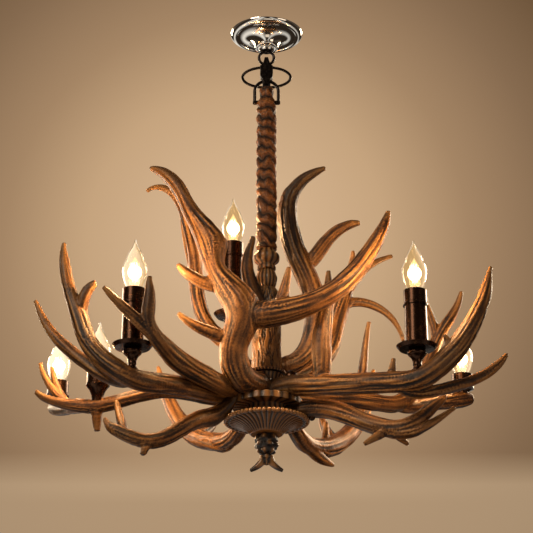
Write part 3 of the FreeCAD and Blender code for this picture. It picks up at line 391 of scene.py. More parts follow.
class Paint(Enum):
    """The finishes, by the record's material slots, and two more for what shines in a bulb: the lit
    filament and the painted glow round it.

    A metal's numbers are its two colours, how metallic it is, its lowest and highest
    roughness, its spots in a metre, where its wear starts and how deep its dents are."""

    ANTLER = AntlerFinish()
    CARVED = CarvedFinish()
    WRAP = WrapFinish()
    CHROME = MetalFinish("chrome", (0.74, 0.72, 0.69), (0.66, 0.63, 0.59),
                         1.0, 0.07, 0.13, 120.0, 0.70, 0.01 * MM)
    IRON = MetalFinish("black_iron", (0.012, 0.009, 0.008), (0.060, 0.045, 0.034),
                       0.9, 0.22, 0.38, 260.0, 0.60, 0.10 * MM)
    BRONZE = MetalFinish("dark_bronze", (0.034, 0.015, 0.008), (0.100, 0.044, 0.020),
                         0.9, 0.20, 0.32, 180.0, 0.56, 0.03 * MM)
    ZINC = MetalFinish("zinc_steel", (0.50, 0.50, 0.49), (0.36, 0.36, 0.37),
                       1.0, 0.28, 0.45, 240.0, 0.55, 0.02 * MM)
    BRASS = MetalFinish("brass", (0.62, 0.42, 0.17), (0.42, 0.26, 0.10),
                        1.0, 0.22, 0.38, 240.0, 0.60, 0.02 * MM)
    SOCKET = MetalFinish("socket_plastic", (0.025, 0.024, 0.023), (0.05, 0.048, 0.045),
                         0.0, 0.40, 0.55, 200.0, 0.60, 0.02 * MM)
    GLASS = GlassFinish()
    GLOW = GlowFinish("lit_filament", (1.0, 0.72, 0.34), 12.0, 1.0)
    # painted glow: the shells round each filament, which shine though they are no lamp
    PAINTED_HALO = GlowFinish("painted_halo_core", (1.0, 0.60, 0.22), 1.9, 0.22)


MADE: dict[Paint, bpy.types.Material] = {}


def painted(thing: bpy.types.Object, paint: Paint) -> None:
    """Give an object one finish, built the first time that it is asked for."""
    if paint not in MADE:
        MADE[paint] = paint.value.material()
    thing.data.materials.clear()
    thing.data.materials.append(MADE[paint])


def shown(name: str, data: bpy.types.ID) -> bpy.types.Object:
    """Put a mesh, curve, lamp or lens into the scene under a name.

    Args:
        name: the new object's name.
        data: what it holds.

    Returns:
        The new object.
    """
    thing = bpy.data.objects.new(name, data)
    bpy.context.scene.collection.objects.link(thing)
    return thing


def evaluated(thing: bpy.types.Object) -> bpy.types.Mesh:
    """The mesh that an object has once its modifiers or its bevel are applied."""
    bpy.context.view_layer.update()
    depsgraph = bpy.context.evaluated_depsgraph_get()
    return bpy.data.meshes.new_from_object(thing.evaluated_get(depsgraph))


def layered(place: Vector, octaves: int, fade: float = 0.9) -> float:
    """Noise in layers, each twice as fine as the one before.

    Args:
        place: where in the noise.
        octaves: how many layers.
        fade: how fast the finer layers weaken.

    Returns:
        About -1 to 1.
    """
    return noise.fractal(place, fade, 2.0, octaves)


def on_drum(angle: float, across: float, along: float) -> Vector:
    """A place on a round drum in the noise, so that what is drawn with it meets at the back."""
    return Vector((math.cos(angle) * across, math.sin(angle) * across, along))


# ---------------------------------------------------------------- meshes as arrays
# points of a solid closer than this are one
SAME_POINT = 1e-6
# how far a remeshed point may move to lie on its solid, in voxels
SNAP_REACH = 0.9
# shares of one step in and one step out of a smoothing that keeps the volume
STEP_IN = 0.55
STEP_OUT = 0.57
# where a ray through the solid starts under its skin, and the depth if it meets nothing
UNDER_SKIN = 1e-5
NO_FAR_SIDE = 0.02


@dataclass
class Surface:
    """An even mesh as arrays, with what smoothing and graining need."""

    points: np.ndarray
    faces: np.ndarray
    marks: dict[str, np.ndarray] = field(default_factory=dict)

    def __post_init__(self) -> None:
        """List the edges once."""
        sides = np.concatenate([self.faces[:, [i, (i + 1) % 4]] for i in range(4)])
        sides = np.unique(np.sort(sides, axis=1), axis=0)
        sides = sides[sides[:, 0] != sides[:, 1]]
        self.near = np.concatenate([sides[:, 0], sides[:, 1]])
        self.far = np.concatenate([sides[:, 1], sides[:, 0]])
        self.degree = np.maximum(np.bincount(self.near, minlength=len(self.points)), 1)

    @classmethod
    def of_node(cls, node: str, voxel: float) -> "Surface":
        """Remesh a solid of the frame into even quads that lie on it.

        Args:
            node: its name.
            voxel: edge length of the new mesh.

        Returns:
            The new surface.
        """
        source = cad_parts[node].data.copy()
        tool = bmesh.new()
        tool.from_mesh(source)
        bmesh.ops.remove_doubles(tool, verts=tool.verts, dist=SAME_POINT)
        tool.to_mesh(source)
        tool.free()
        holder = shown("remesh_holder", source)
        remesh = holder.modifiers.new("even", "REMESH")
        remesh.mode = "VOXEL"
        remesh.voxel_size = voxel
        mesh = evaluated(holder)
        points = np.zeros(len(mesh.vertices) * 3)
        mesh.vertices.foreach_get("co", points)
        points = points.reshape(-1, 3)
        skin = BVHTree.FromPolygons([v.co.copy() for v in source.vertices],
                                    [tuple(p.vertices) for p in source.polygons])
        for i, point in enumerate(points):
            nearest = skin.find_nearest(Vector(point), voxel * SNAP_REACH)[0]
            if nearest is not None:
                points[i] = nearest
        faces = np.zeros(len(mesh.loops), int)
        mesh.loops.foreach_get("vertex_index", faces)
        bpy.data.objects.remove(holder)
        bpy.data.meshes.remove(source)
        bpy.data.meshes.remove(mesh)
        return cls(points, faces.reshape(-1, 4))

    @classmethod
    def turned(cls, radius: np.ndarray, height: np.ndarray) -> "Surface":
        """A tube round Z, open at both ends, from grids of radius and height.

        Args:
            radius: one row for each ring, one column for each step round.
            height: the same shape.

        Returns:
            The surface.
        """
        rings, steps = radius.shape
        angle = np.linspace(0, TURN, steps, endpoint=False)[None, :]
        points = np.stack([radius * np.cos(angle), radius * np.sin(angle), height], axis=-1)
        ring = np.arange(rings - 1)[:, None] * steps
        step = np.arange(steps)[None, :]
        after = (step + 1) % steps
        above = ring + steps
        faces = np.stack([ring + step, ring + after, above + after, above + step], axis=-1)
        return cls(points.reshape(-1, 3), faces.reshape(-1, 4))

    def count(self) -> int:
        """How many points there are."""
        return len(self.points)

    def around(self, values: np.ndarray) -> np.ndarray:
        """Mean of the neighbours' values at each point."""
        if values.ndim == 1:
            return np.bincount(self.near, values[self.far], self.count()) / self.degree
        return np.stack([self.around(column) for column in values.T], axis=1)

    def blurred(self, values: np.ndarray, times: int) -> np.ndarray:
        """Values after a number of rounds of smoothing."""
        for _ in range(times):
            values = (values + self.around(values)) * 0.5
        return values

    def relax(self, times: int) -> "Surface":
        """Smooth the form, keeping its volume by stepping out after each step in."""
        for _ in range(times):
            self.points = self.points + STEP_IN * (self.around(self.points) - self.points)
            self.points = self.points - STEP_OUT * (self.around(self.points) - self.points)
        return self

    def normals(self) -> np.ndarray:
        """Unit normal at each point."""
        a, b, c, d = (self.points[self.faces[:, i]] for i in range(4))
        face = np.cross(c - a, d - b)
        total = np.zeros_like(self.points)
        for corner in range(4):
            for axis in range(3):
                total[:, axis] += np.bincount(self.faces[:, corner], face[:, axis], self.count())
        return total / np.maximum(np.linalg.norm(total, axis=1, keepdims=True), 1e-12)

    def lift(self, heights: np.ndarray) -> "Surface":
        """Push each point out along its normal."""
        self.points = self.points + self.normals() * heights[:, None]
        return self

    def beam(self, times: int = 24) -> np.ndarray:
        """Direction of the beam or tine at each point: the line its normals stand square to."""
        normal = self.normals()
        pairs = [(0, 0), (0, 1), (0, 2), (1, 1), (1, 2), (2, 2)]
        parts = np.stack([normal[:, i] * normal[:, j] for i, j in pairs], axis=1)
        parts = self.blurred(parts, times)
        spread = np.zeros((self.count(), 3, 3))
        for k, (i, j) in enumerate(pairs):
            spread[:, i, j] = parts[:, k]
            spread[:, j, i] = parts[:, k]
        return np.linalg.eigh(spread)[1][:, :, 0]

    def grain(self, strides: tuple[float, ...], draws: tuple[tuple[int, int], ...],
              passes: int) -> list[np.ndarray]:
        """Random streaks that run with the beam.

        Args:
            strides: how far each step of a streak reaches, from short to long.
            draws: the seed of each set of streaks, and the smoothing rounds that set its width.
            passes: steps at each stride.

        Returns:
            For each draw the streak value at each point, spread evenly from 0 to 1.
        """
        along = self.beam()
        tree = KDTree(self.count())
        for i, point in enumerate(self.points):
            tree.insert(point, i)
        tree.balance()
        values = [self.blurred(np.random.default_rng(seed).normal(size=self.count()), coarse)
                  for seed, coarse in draws]
        for stride in strides:
            ahead = np.array([tree.find(p)[1] for p in self.points + along * stride])
            behind = np.array([tree.find(p)[1] for p in self.points - along * stride])
            for _ in range(passes):
                values = [(value + value[ahead] + value[behind]) / 3.0 for value in values]
        return [even(value - self.blurred(value, 10 + 8 * coarse))
                for value, (_, coarse) in zip(values, draws)]

    def thickness(self) -> np.ndarray:
        """Distance through the solid at each point."""
        tree = BVHTree.FromPolygons(self.points.tolist(), self.faces.tolist())
        found = []
        for point, normal in zip(self.points, self.normals()):
            far = tree.ray_cast(Vector(point - normal * UNDER_SKIN), Vector(-normal))[3]
            found.append(NO_FAR_SIDE if far is None else far)
        return np.array(found)

    def field(self, size: float, octaves: int = 3, seed: float = 0.0) -> np.ndarray:
        """Smooth noise at each point, about -1 to 1.

        Args:
            size: length of its blobs.
            octaves: layers.
            seed: shift of the noise.

        Returns:
            The noise values.
        """
        return np.array([layered(Vector(place), octaves) for place in self.points / size + seed])

    def made(self, name: str) -> bpy.types.Object:
        """Make the mesh object, smooth, with the marks as attributes."""
        mesh = bpy.data.meshes.new(name)
        mesh.from_pydata(self.points.tolist(), [], self.faces.tolist())
        mesh.validate()
        mesh.shade_smooth()
        for mark, values in self.marks.items():
            attribute = mesh.attributes.new(mark, "FLOAT", "POINT")
            attribute.data.foreach_set("value", values.astype(np.float32))
        return shown(name, mesh)


def even(values: np.ndarray) -> np.ndarray:
    """Values carried to their rank, so that they lie evenly from 0 to 1."""
    order = np.empty(len(values))
    order[np.argsort(values)] = np.linspace(0.0, 1.0, len(values))
    return order


def hand_over(thing: bpy.types.Object, body: str, nodes: tuple[str, ...],
              paint: Paint) -> None:
    """Finish a piece: paint it, let it ride and let it stand for its nodes.

    Args:
        thing: the piece.
        body: the moving body that it rides.
        nodes: the solids it stands for, none where it only adds to one.
        paint: its finish.
    """
    painted(thing, paint)
    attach(thing, body)
    if nodes:
        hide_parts(*nodes)
    LOG.info("%s: %d faces", thing.name, len(thing.data.polygons))


def keep_node(node: str, paint: Paint, angle: float = 35.0) -> None:
    """Show a solid of the frame as it is, smooth up to an angle, with its finish."""
    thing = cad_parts[node]
    painted(thing, paint)
    thing.data.shade_smooth()
    thing.data.set_sharp_from_angle(angle=math.radians(angle))
    LOG.info("%s: kept", node)


# ---------------------------------------------------------------- antlers
@dataclass
class Antlers:
    """The fourteen cast antlers: each one's solid is grown smooth, ridged and grained."""

    body: str = "chandelier"
    voxel: float = 1.5 * MM
    strides: tuple[float, ...] = (1.5 * MM, 3.0 * MM, 6.0 * MM, 11.0 * MM)
    full_girth: float = 26.0 * MM
    tip_girth: float = 24.0 * MM
    groove_depth: float = 1.2 * MM
    ridge_level: float = 0.70
    calm_level: float = 0.55
    calm_size: float = 42.0 * MM
    knot_size: float = 26.0 * MM
    knot_height: float = 0.9 * MM
    pearl_size: float = 5.0 * MM
    pearl_reach: float = 30.0 * MM
    burr_middle: float = 9.0 * MM
    burr_width: float = 4.0 * MM
    burr_height: float = 2.0 * MM
    hub_shade_reach: float = 34.0 * MM

    def build(self) -> None:
        """Build every antler."""
        names = sorted(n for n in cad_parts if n.startswith("antler_"))
        for seed, name in enumerate(names):
            self.grow(name, seed)

    def grow(self, name: str, seed: int) -> None:
        """Grow one antler from its solid.

        Args:
            name: its node.
            seed: start of its random draws.
        """
        skin = Surface.of_node(name, self.voxel).relax(10)
        thick = skin.blurred(skin.thickness(), 8)
        stout = np.clip(thick / self.full_girth, 0.12, 1.0)
        draws = ((seed, 2), (seed + 100, 0), (seed + 200, 1))
        broad, narrow, seam = skin.grain(self.strides, draws, 3)
        knots = skin.field(self.knot_size, 2, seed * 3.7)
        pearls = skin.field(self.pearl_size, 2, seed * 1.9)
        calm = np.clip(0.75 + 0.7 * skin.field(self.calm_size, 2, seed * 5.3), 0.30, 1.0)
        streaks = even(0.62 * broad + 0.38 * narrow)
        ridges = self.calm_level + (streaks - self.calm_level) * calm
        crack = np.clip((0.15 - seam) / 0.10, 0.0, 1.0) * calm
        outward = np.hypot(skin.points[:, 0], skin.points[:, 1])
        outward = outward - outward.min()
        burr = np.exp(-((outward - self.burr_middle) / self.burr_width) ** 2) * (0.7 + 0.5 * pearls)
        depth = self.groove_depth * stout
        skin.lift((ridges - self.ridge_level) * depth * 1.2 - crack * depth * 0.9
                  + knots * self.knot_height * stout + np.clip(burr, 0.0, 1.0) * self.burr_height)
        pearled = 0.25 * pearls * np.exp(-outward / self.pearl_reach)
        skin.marks["grain"] = np.clip(ridges + pearled, 0.0, 1.0)
        skin.marks["crack"] = crack
        skin.marks["thin"] = np.clip(1.0 - thick / self.tip_girth, 0.0, 1.0)
        # painted shade mark: strongest at the antler's inner end, fading outward
        skin.marks["root"] = np.exp(-(outward / self.hub_shade_reach) ** 2)
        hand_over(skin.made(name + "_form"), self.body, (name,), Paint.ANTLER)


# ---------------------------------------------------------------- stem and hub
@dataclass
class Stem:
    """The twisted wrap from the shackle down to the knob."""

    body: str = "chandelier"
    starts: int = 2
    roll: float = 18.0 * MM
    roll_depth: float = 4.4 * MM
    steps: int = 144
    ring_gap: float = 0.8 * MM
    neck_end: float = -127.0 * MM
    neck_run: float = 12.0 * MM
    neck_share: float = 0.80
    fullness: float = 1.12
    sway_turn: float = 3.4
    closing: float = 4.0 * MM
    end_radius: float = 5.0 * MM

    def waver(self, angle: np.ndarray, height: np.ndarray, across: float, along: float,
              octaves: int) -> np.ndarray:
        """Noise over the wrap, with no seam.

        Args:
            angle: its steps round.
            height: its rings.
            across: the drum's radius in the noise.
            along: noise for each metre of height.
            octaves: layers.

        Returns:
            One value for each ring and step.
        """
        return np.array([[layered(on_drum(a, across, z * along), octaves) for a in angle[0]]
                         for z in height[:, 0]])

    def build(self) -> None:
        """Build the wrap along its solid."""
        low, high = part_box("stem_sleeve")
        rings = int((high.z - low.z) / self.ring_gap)
        height = np.linspace(low.z, high.z, rings)[:, None] * np.ones((1, self.steps))
        angle = np.linspace(0, TURN, self.steps, endpoint=False)[None, :] * np.ones((rings, 1))
        sway = self.waver(angle, height, 0.9, 30.0, 2)
        pleat = self.waver(angle, height, 3.0, 70.0, 3)
        phase = TURN * height / self.roll + self.starts * angle + sway * self.sway_turn
        bulge = np.abs(np.sin(phase * 0.5)) ** 0.75
        folds = np.abs(np.sin(phase * 2.0 + pleat * 3.5)) ** 0.8
        relief = bulge * (0.72 + 0.28 * folds) * np.clip(0.92 + 0.25 * pleat, 0.0, 1.0)
        neck = np.clip((height - self.neck_end) / self.neck_run, 0.0, 1.0)
        girth = high.x * (self.fullness - (self.fullness - self.neck_share) * neck)
        radius = girth - (1.0 - relief) * self.roll_depth * (1.0 - 0.45 * neck)
        close_up = np.clip((high.z - height) / self.closing, 0.0, 1.0)
        radius = radius * (0.80 + 0.20 * close_up ** 0.5)
        radius[0] = radius[-1] = self.end_radius
        tube = Surface.turned(radius, height)
        tube.marks["relief"] = relief.reshape(-1)
        hand_over(tube.made("stem_wrap"), self.body, ("stem_sleeve",), Paint.WRAP)


@dataclass
class Carving:
    """A turned solid of the hub, remeshed and carved by a rule of angle, radius and height."""

    node: str
    voxel: float
    rule: Callable[[np.ndarray, np.ndarray, np.ndarray], np.ndarray]
    depth: float
    roughen: float = 0.15 * MM
    rough_size: float = 9.0 * MM

    def build(self) -> None:
        """Carve the solid."""
        skin = Surface.of_node(self.node, self.voxel).relax(3)
        x, y, z = skin.points.T
        relief = self.rule(np.arctan2(y, x), np.hypot(x, y), z)
        skin.lift((relief - 1.0) * self.depth + skin.field(self.rough_size) * self.roughen)
        skin.marks["relief"] = relief
        form = skin.made(self.node + "_form")
        hand_over(form, "chandelier", (self.node,), Paint.CARVED)


@dataclass
class Hub:
    """Knob, acorn, bark column, beaded collar, fluted waist, bowl, finial and prongs.

    A rule of a carving gives 1 where the solid's own skin stays and 0 at the deepest cut."""

    gadroons: int = 12
    crack_sharpness: float = 3.2
    beads: int = 36
    flutes_waist: int = 22
    flutes_bowl: int = 40
    foot_radius: float = 24.0 * MM
    foot_edge: float = 3.0 * MM
    rim_groove: float = 6.5 * MM
    groove_width: float = 1.0 * MM
    rim_beads: int = 56
    bead_size: float = 3.3 * MM
    bead_relief: float = 1.15
    scrolls_round: int = 6
    scroll_rise: float = 11.0 * MM

    def build(self) -> None:
        """Build each carving."""
        low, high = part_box("beaded_collar")
        middle = (low.z + high.z) / 2
        bead_radius = (high.z - low.z) / 2

        def bark(angle: np.ndarray, radius: np.ndarray, height: np.ndarray) -> np.ndarray:
            """Upright cracks that wander, as in bark."""
            found = []
            for a, z in zip(angle, height):
                wander = noise.noise(on_drum(a, 2.0, z * 30.0)) * 0.25
                crack = layered(on_drum(a + wander, 6.0, z * 22.0), 4, 0.8)
                found.append(1.0 - min(1.0, abs(crack) * self.crack_sharpness))
            return 1.0 - np.array(found) ** 2

        def beads(angle: np.ndarray, radius: np.ndarray, height: np.ndarray) -> np.ndarray:
            """A row of beads round the collar."""
            across = np.sin(angle * self.beads / 2) ** 2
            up = np.clip(1.0 - ((height - middle) / bead_radius) ** 2, 0.0, 1.0)
            return np.clip(across * up * 1.6, 0.0, 1.0) ** 0.6

        def flutes(number: int, power: float) -> Callable:
            """A rule for flutes: round ridges between sharp lines."""
            def rule(angle: np.ndarray, radius: np.ndarray, height: np.ndarray) -> np.ndarray:
                """The same number of ridges at every height."""
                return np.abs(np.sin(angle * number / 2)) ** power
            return rule

        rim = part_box("bowl")[1]

        def petals(angle: np.ndarray, radius: np.ndarray, height: np.ndarray) -> np.ndarray:
            """Flutes of the bowl, left plain at the foot, and a groove below the rim's beads."""
            ribs = np.abs(np.sin(angle * self.flutes_bowl / 2)) ** 0.7
            ring = np.clip((radius - self.foot_radius) / self.foot_edge, 0.0, 1.0)
            ribs = 1.0 - (1.0 - ribs) * ring
            edge = radius - (rim.x - self.rim_groove)
            return ribs * (1.0 - 0.8 * np.exp(-(edge / self.groove_width) ** 2))

        def scrolls(angle: np.ndarray, radius: np.ndarray, height: np.ndarray) -> np.ndarray:
            """Knobs in rows that step round from row to row, as scrolled leaves."""
            row = (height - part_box("finial")[0].z) / self.scroll_rise
            across = 0.5 + 0.5 * np.sin(angle * self.scrolls_round + np.floor(row) * math.pi)
            return across * np.abs(np.sin(row * math.pi)) ** 0.5

        pieces = [
            Carving("stem_knob", 0.8 * MM, flutes(self.gadroons, 0.6), 1.2 * MM),
            Carving("stem_acorn", 0.8 * MM, flutes(self.gadroons + 4, 0.7), 1.4 * MM),
            Carving("column", 1.0 * MM, bark, 2.4 * MM, 0.5 * MM),
            Carving("beaded_collar", 0.7 * MM, beads, 2.2 * MM),
            Carving("waist", 0.9 * MM, flutes(self.flutes_waist, 0.7), 1.5 * MM),
            Carving("bowl", 0.9 * MM, petals, 2.2 * MM),
            Carving("finial", 0.7 * MM, scrolls, 2.6 * MM),
            Carving("prongs", 0.8 * MM, flutes(6, 1.0), 0.4 * MM),
        ]
        for piece in pieces:
            piece.build()
        bead = self.bead_size
        self.ring("rim_beads", self.rim_beads, rim.x - bead * 0.5, rim.z - bead * 1.1, bead)

    def ring(self, name: str, count: int, radius: float, level: float, bead: float) -> None:
        """A row of beads cast on a round edge.

        Args:
            name: the row's name.
            count: how many beads.
            radius: of the circle through their centres.
            level: height of that circle.
            bead: radius of a bead.
        """
        tilt = np.linspace(-math.pi / 2, math.pi / 2, 9)[:, None] * np.ones((1, 12))
        ball = Surface.turned(bead * np.cos(tilt) + 1e-6, bead * np.sin(tilt))
        points = []
        faces = []
        for i in range(count):
            turn = TURN * (i + 0.5) / count
            centre = np.array([radius * math.cos(turn), radius * math.sin(turn), level])
            points.append(ball.points + centre)
            faces.append(ball.faces + i * ball.count())
        row = Surface(np.concatenate(points), np.concatenate(faces))
        row.marks["relief"] = np.full(row.count(), self.bead_relief)
        hand_over(row.made(name), "chandelier", (), Paint.CARVED)


# ---------------------------------------------------------------- metal parts
@dataclass
class CeilingGear:
    """Canopy and its boss, the hidden crossbar, nipple and nut, and the stem's core."""

    def build(self) -> None:
        """Finish each solid."""
        for node in ("canopy", "canopy_boss"):
            keep_node(node, Paint.CHROME, 40.0)
        for node in ("crossbar", "nipple", "lock_nut", "stem_core"):
            keep_node(node, Paint.ZINC)


@dataclass
class Links:
    """Forged loop, hook, oval ring and shackle."""

    voxel: float = 0.6 * MM
    dent_size: float = 5.0 * MM
    dent_depth: float = 0.25 * MM

    def build(self) -> None:
        """Forge the hook and finish the wires."""
        skin = Surface.of_node("hook", self.voxel).relax(8)
        skin.lift(skin.field(self.dent_size, 2) * self.dent_depth)
        hand_over(skin.made("hook_forged"), "hook", ("hook",), Paint.IRON)
        for node in ("canopy_loop", "oval_ring", "shackle_bow", "shackle_pin"):
            keep_node(node, Paint.IRON, 50.0)


def hand_over_curve(thing: bpy.types.Object, body: str, paint: Paint) -> None:
    """Turn a curve to a mesh, paint it and let it ride."""
    mesh = evaluated(thing)
    name = thing.name
    bpy.data.objects.remove(thing)
    solid = shown(name, mesh)
    painted(solid, paint)
    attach(solid, body)
    LOG.info("%s: %d faces", name, len(mesh.polygons))


@dataclass
class Candles:
    """Vases, tubes, cups, sockets and lit bulbs."""

    filament_wire: float = 0.40 * MM
    filament_reach: float = 3.2 * MM
    filament_foot: float = 18.0 * MM
    filament_top: float = 46.0 * MM
    loops: int = 5
    core_width: float = 7.0 * MM
    core_height: float = 42.0 * MM
    core_rise: float = 34.0 * MM
    core_point: float = 0.05 * MM
    core_shells: tuple[float, ...] = (0.40, 0.65, 0.85, 1.0)
    lamp_power: float = 3.2
    lamp_colour: Colour = (1.0, 0.56, 0.24)
    lamp_size: float = 12.0 * MM
    lamp_rise: float = 32.0 * MM

    def build(self) -> None:
        """Dress every candle."""
        for node in sorted(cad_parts):
            if node.startswith(("vase_", "tube_", "cup_")) or node == "cap_nuts":
                keep_node(node, Paint.BRONZE, 40.0)
            elif node == "lamp_sockets":
                keep_node(node, Paint.SOCKET)
            elif node.startswith("bulb_cap_"):
                keep_node(node, Paint.BRASS)
            elif node.startswith("bulb_glass_"):
                keep_node(node, Paint.GLASS, 60.0)
                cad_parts[node].visible_shadow = False
                self.light(node.removeprefix("bulb_glass_"))

    def light(self, name: str) -> None:
        """Put the filament and its light into one bulb.

        Args:
            name: the candle's name.
        """
        low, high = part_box("bulb_glass_" + name)
        middle = Vector(((low.x + high.x) / 2, (low.y + high.y) / 2, low.z))
        curve = bpy.data.curves.new("filament_" + name, "CURVE")
        curve.dimensions = "3D"
        curve.bevel_depth = self.filament_wire
        curve.bevel_resolution = 2
        line = curve.splines.new("POLY")
        turns = []
        for i in range(self.loops * 2 + 1):
            angle = math.pi * i / self.loops
            up = self.filament_top if i % 2 else self.filament_foot
            out = self.filament_reach
            turns.append(middle + Vector((out * math.cos(angle), out * math.sin(angle), up)))
        line.points.add(len(turns) - 1)
        for point, place in zip(line.points, turns):
            point.co = (*place, 1.0)
        hand_over_curve(shown("filament_" + name, curve), "bulb_" + name, Paint.GLOW)
        self.core(name, middle)
        lamp = bpy.data.lights.new("glow_" + name, "POINT")
        lamp.energy = self.lamp_power
        lamp.color = self.lamp_colour
        lamp.shadow_soft_size = self.lamp_size
        glow = shown("glow_" + name, lamp)
        glow.location = middle + Vector((0, 0, self.lamp_rise))
        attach(glow, "bulb_" + name)

    def core(self, name: str, middle: Vector) -> None:
        """A painted glow round the filament: flame shapes, one in another, that shine though they are
        no lamp, and that light passes through.

        Args:
            name: the candle's name.
            middle: foot of the bulb on its axis.
        """
        rise = np.linspace(0.0, 1.0, 28)[:, None] * np.ones((1, 24))
        for shell, share in enumerate(self.core_shells):
            radius = self.core_width * share * np.sin(math.pi * rise) ** 0.8 + self.core_point
            flame = Surface.turned(radius, (rise - 0.5) * self.core_height * share)
            flame.points = flame.points + np.array(middle + Vector((0, 0, self.core_rise)))
            thing = flame.made(f"core_{name}_{shell}")
            thing.visible_shadow = False
            painted(thing, Paint.PAINTED_HALO)
            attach(thing, "bulb_" + name)


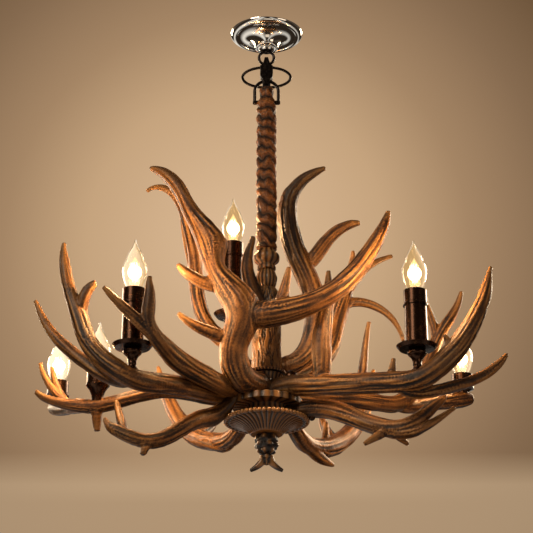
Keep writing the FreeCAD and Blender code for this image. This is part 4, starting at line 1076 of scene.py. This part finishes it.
# ---------------------------------------------------------------- stage
@dataclass
class Studio:
    """A sheet of warm paper, soft lights, an even light all round and the camera."""

    floor_level: float = -2.1
    wall_back: float = 6.0
    wall_top: float = 8.0
    sheet_half: float = 7.0
    bend: float = 1.2
    bend_steps: int = 24
    paper_back: float = 2.6
    # the paper's colour part way out into the painted shade of its corners
    paper_edge: Colour = (0.375, 0.236, 0.130)
    aim_level: float = -0.4
    world_colour: Colour = (0.85, 0.66, 0.48)
    world_strength: float = 0.10
    camera_place: Vector = field(default_factory=lambda: Vector((0.0, -2.666, -1.476)))
    camera_rise: float = 22.0
    view_pixels: float = 1900.0
    frame_pixels: float = 533.0

    def build(self) -> None:
        """Build the stage."""
        self.backdrop()
        self.lights()
        self.camera()

    def backdrop(self) -> None:
        """One sheet: floor, a wide bend and a wall."""
        bend = self.bend
        profile = [(-self.sheet_half, self.floor_level)]
        for i in range(self.bend_steps + 1):
            turn = math.pi / 2 * i / self.bend_steps
            profile.append((self.wall_back - bend + bend * math.sin(turn),
                            self.floor_level + bend - bend * math.cos(turn)))
        profile.append((self.wall_back, self.wall_top))
        points = [(x, y, z) for y, z in profile for x in (-self.sheet_half, self.sheet_half)]
        faces = [(2 * i, 2 * i + 1, 2 * i + 3, 2 * i + 2) for i in range(len(profile) - 1)]
        mesh = bpy.data.meshes.new("backdrop")
        mesh.from_pydata(points, [], faces)
        mesh.shade_smooth()
        sheet = shown("backdrop", mesh)
        sh = Shader("backdrop_paper_painted_light")
        self.paper(sh)
        mesh.materials.append(sh.material)

    def paper(self, sh: Shader) -> None:
        """Warm paper with painted light and shade: a pool of light behind the object, shade towards the
        corners, a lighter band low down and a shadow below the object; mirrors see it as dark with
        bright bands.

        Args:
            sh: the backdrop's empty tree.
        """
        eye = self.camera_place
        nearer = (self.paper_back - eye.y) / (self.wall_back - eye.y)
        split = sh.node("ShaderNodeSeparateXYZ", inputs={0: sh.place()})
        across = split * nearer
        up = (Socket(sh, split.link.node.outputs["Z"]) - eye.z) * nearer + eye.z
        wide = (across + 0.09) * 1.12
        tall = (up - 0.74) * 1.02
        far = (wide * wide + tall * tall) ** 0.5
        # painted light and shade: brightest behind the object, darker towards the corners
        glow = sh.ramp(sh.spread(far, 0.0, 1.4),
                       (0.0, (0.720, 0.492, 0.300)), (0.36, (0.560, 0.368, 0.208)),
                       (0.56, self.paper_edge), (0.78, (0.240, 0.147, 0.080)),
                       (1.0, (0.140, 0.080, 0.038)))
        # painted light: a lighter band low on the wall, where it meets the floor
        shelf = sh.spread(up, 0.075, -0.020)
        lighter = sh.blend(shelf * 0.5, glow, (0.620, 0.440, 0.270))
        # painted shadow: a darker patch low on the paper, below the object
        painted_shadow = sh.spread(up, -0.035, -0.075) * sh.spread(far, 1.25, 0.75)
        paper = sh.blend(painted_shadow * 0.30, lighter, (0.300, 0.190, 0.105))
        # painted reflections: two bright bands on a dark ground, which only glossy rays see
        first = sh.spread(across, -1.50, -0.95) * sh.spread(across, -0.15, -0.70)
        second = sh.spread(across, 0.45, 0.80) * sh.spread(across, 1.35, 0.95)
        mirrored = sh.blend(first + second * 0.7, (0.030, 0.021, 0.014), (1.0, 0.94, 0.84))
        paths = "ShaderNodeLightPath"
        camera = sh.node(paths, output="Is Camera Ray")
        glossy = sh.node(paths, output="Is Glossy Ray")
        through = sh.node(paths, output="Is Transmission Ray")
        seen = sh.blend(glossy, paper, mirrored)
        lit = sh.principled({"Base Color": (0.38, 0.26, 0.16, 1.0), "Roughness": 0.9})
        # the paper shines with its painted light and shade for camera, glossy and transmission rays
        shining = sh.principled({
            "Base Color": (*BLACK, 1.0), "Specular IOR Level": 0.0,
            "Emission Color": seen, "Emission Strength": 1.0})
        share = sh.node("ShaderNodeClamp", inputs={0: camera + glossy + through})
        sh.close(sh.node("ShaderNodeMixShader", inputs={0: share, 1: lit, 2: shining}))

    def lights(self) -> None:
        """Soft boxes round the object, turned to its middle, and the light all round.

        Each has its name, place, power, side and colour."""
        boxes = [
            ("key", (-1.5, -2.0, 0.9), 52.0, 1.1, (1.0, 0.84, 0.64)),
            ("fill", (2.0, -1.8, -0.6), 8.0, 1.2, (1.0, 0.80, 0.60)),
            ("rim_right", (1.5, 1.5, 0.4), 46.0, 0.8, (1.0, 0.78, 0.54)),
            ("rim_left", (-1.5, 1.5, 0.1), 30.0, 0.8, (1.0, 0.78, 0.54)),
            ("low", (0.2, -1.5, -1.9), 3.0, 1.0, (1.0, 0.84, 0.66)),
        ]
        for name, place, power, side, colour in boxes:
            lamp = bpy.data.lights.new(name, "AREA")
            lamp.energy = power
            lamp.size = side
            lamp.color = colour
            box = shown(name, lamp)
            box.location = place
            aim = Vector((0, 0, self.aim_level)) - Vector(place)
            box.rotation_euler = aim.to_track_quat("-Z", "Y").to_euler()
        self.surround()

    def surround(self) -> None:
        """An even, weak warm light all round, which the camera sees in the paper's colour part way into
        its painted shade.
        """
        world = bpy.data.worlds.new("studio")
        world.use_nodes = True
        tree = world.node_tree
        light = tree.nodes["Background"]
        light.inputs["Color"].default_value = (*self.world_colour, 1.0)
        light.inputs["Strength"].default_value = self.world_strength
        seen = tree.nodes.new("ShaderNodeBackground")
        seen.inputs["Color"].default_value = (*self.paper_edge, 1.0)
        paths = tree.nodes.new("ShaderNodeLightPath")
        mixed = tree.nodes.new("ShaderNodeMixShader")
        tree.links.new(paths.outputs["Is Camera Ray"], mixed.inputs[0])
        tree.links.new(light.outputs[0], mixed.inputs[1])
        tree.links.new(seen.outputs[0], mixed.inputs[2])
        tree.links.new(mixed.outputs[0], tree.nodes["World Output"].inputs["Surface"])
        bpy.context.scene.world = world

    def camera(self) -> None:
        """The photograph's view: low in front, looking up."""
        lens = bpy.data.cameras.new("view")
        lens.sensor_width = 36.0
        lens.lens = self.view_pixels / self.frame_pixels * lens.sensor_width
        lens.clip_end = 50.0
        camera = shown("view", lens)
        camera.location = self.camera_place
        camera.rotation_euler = (math.radians(90.0 + self.camera_rise), 0.0, 0.0)
        bpy.context.scene.camera = camera


def main() -> None:
    """Build every sub-assembly in order."""
    bpy.context.scene.view_settings.view_transform = "Standard"
    for part in (CeilingGear(), Links(), Stem(), Hub(), Antlers(), Candles(), Studio()):
        part.build()


if __name__ == "__main__":
    main()
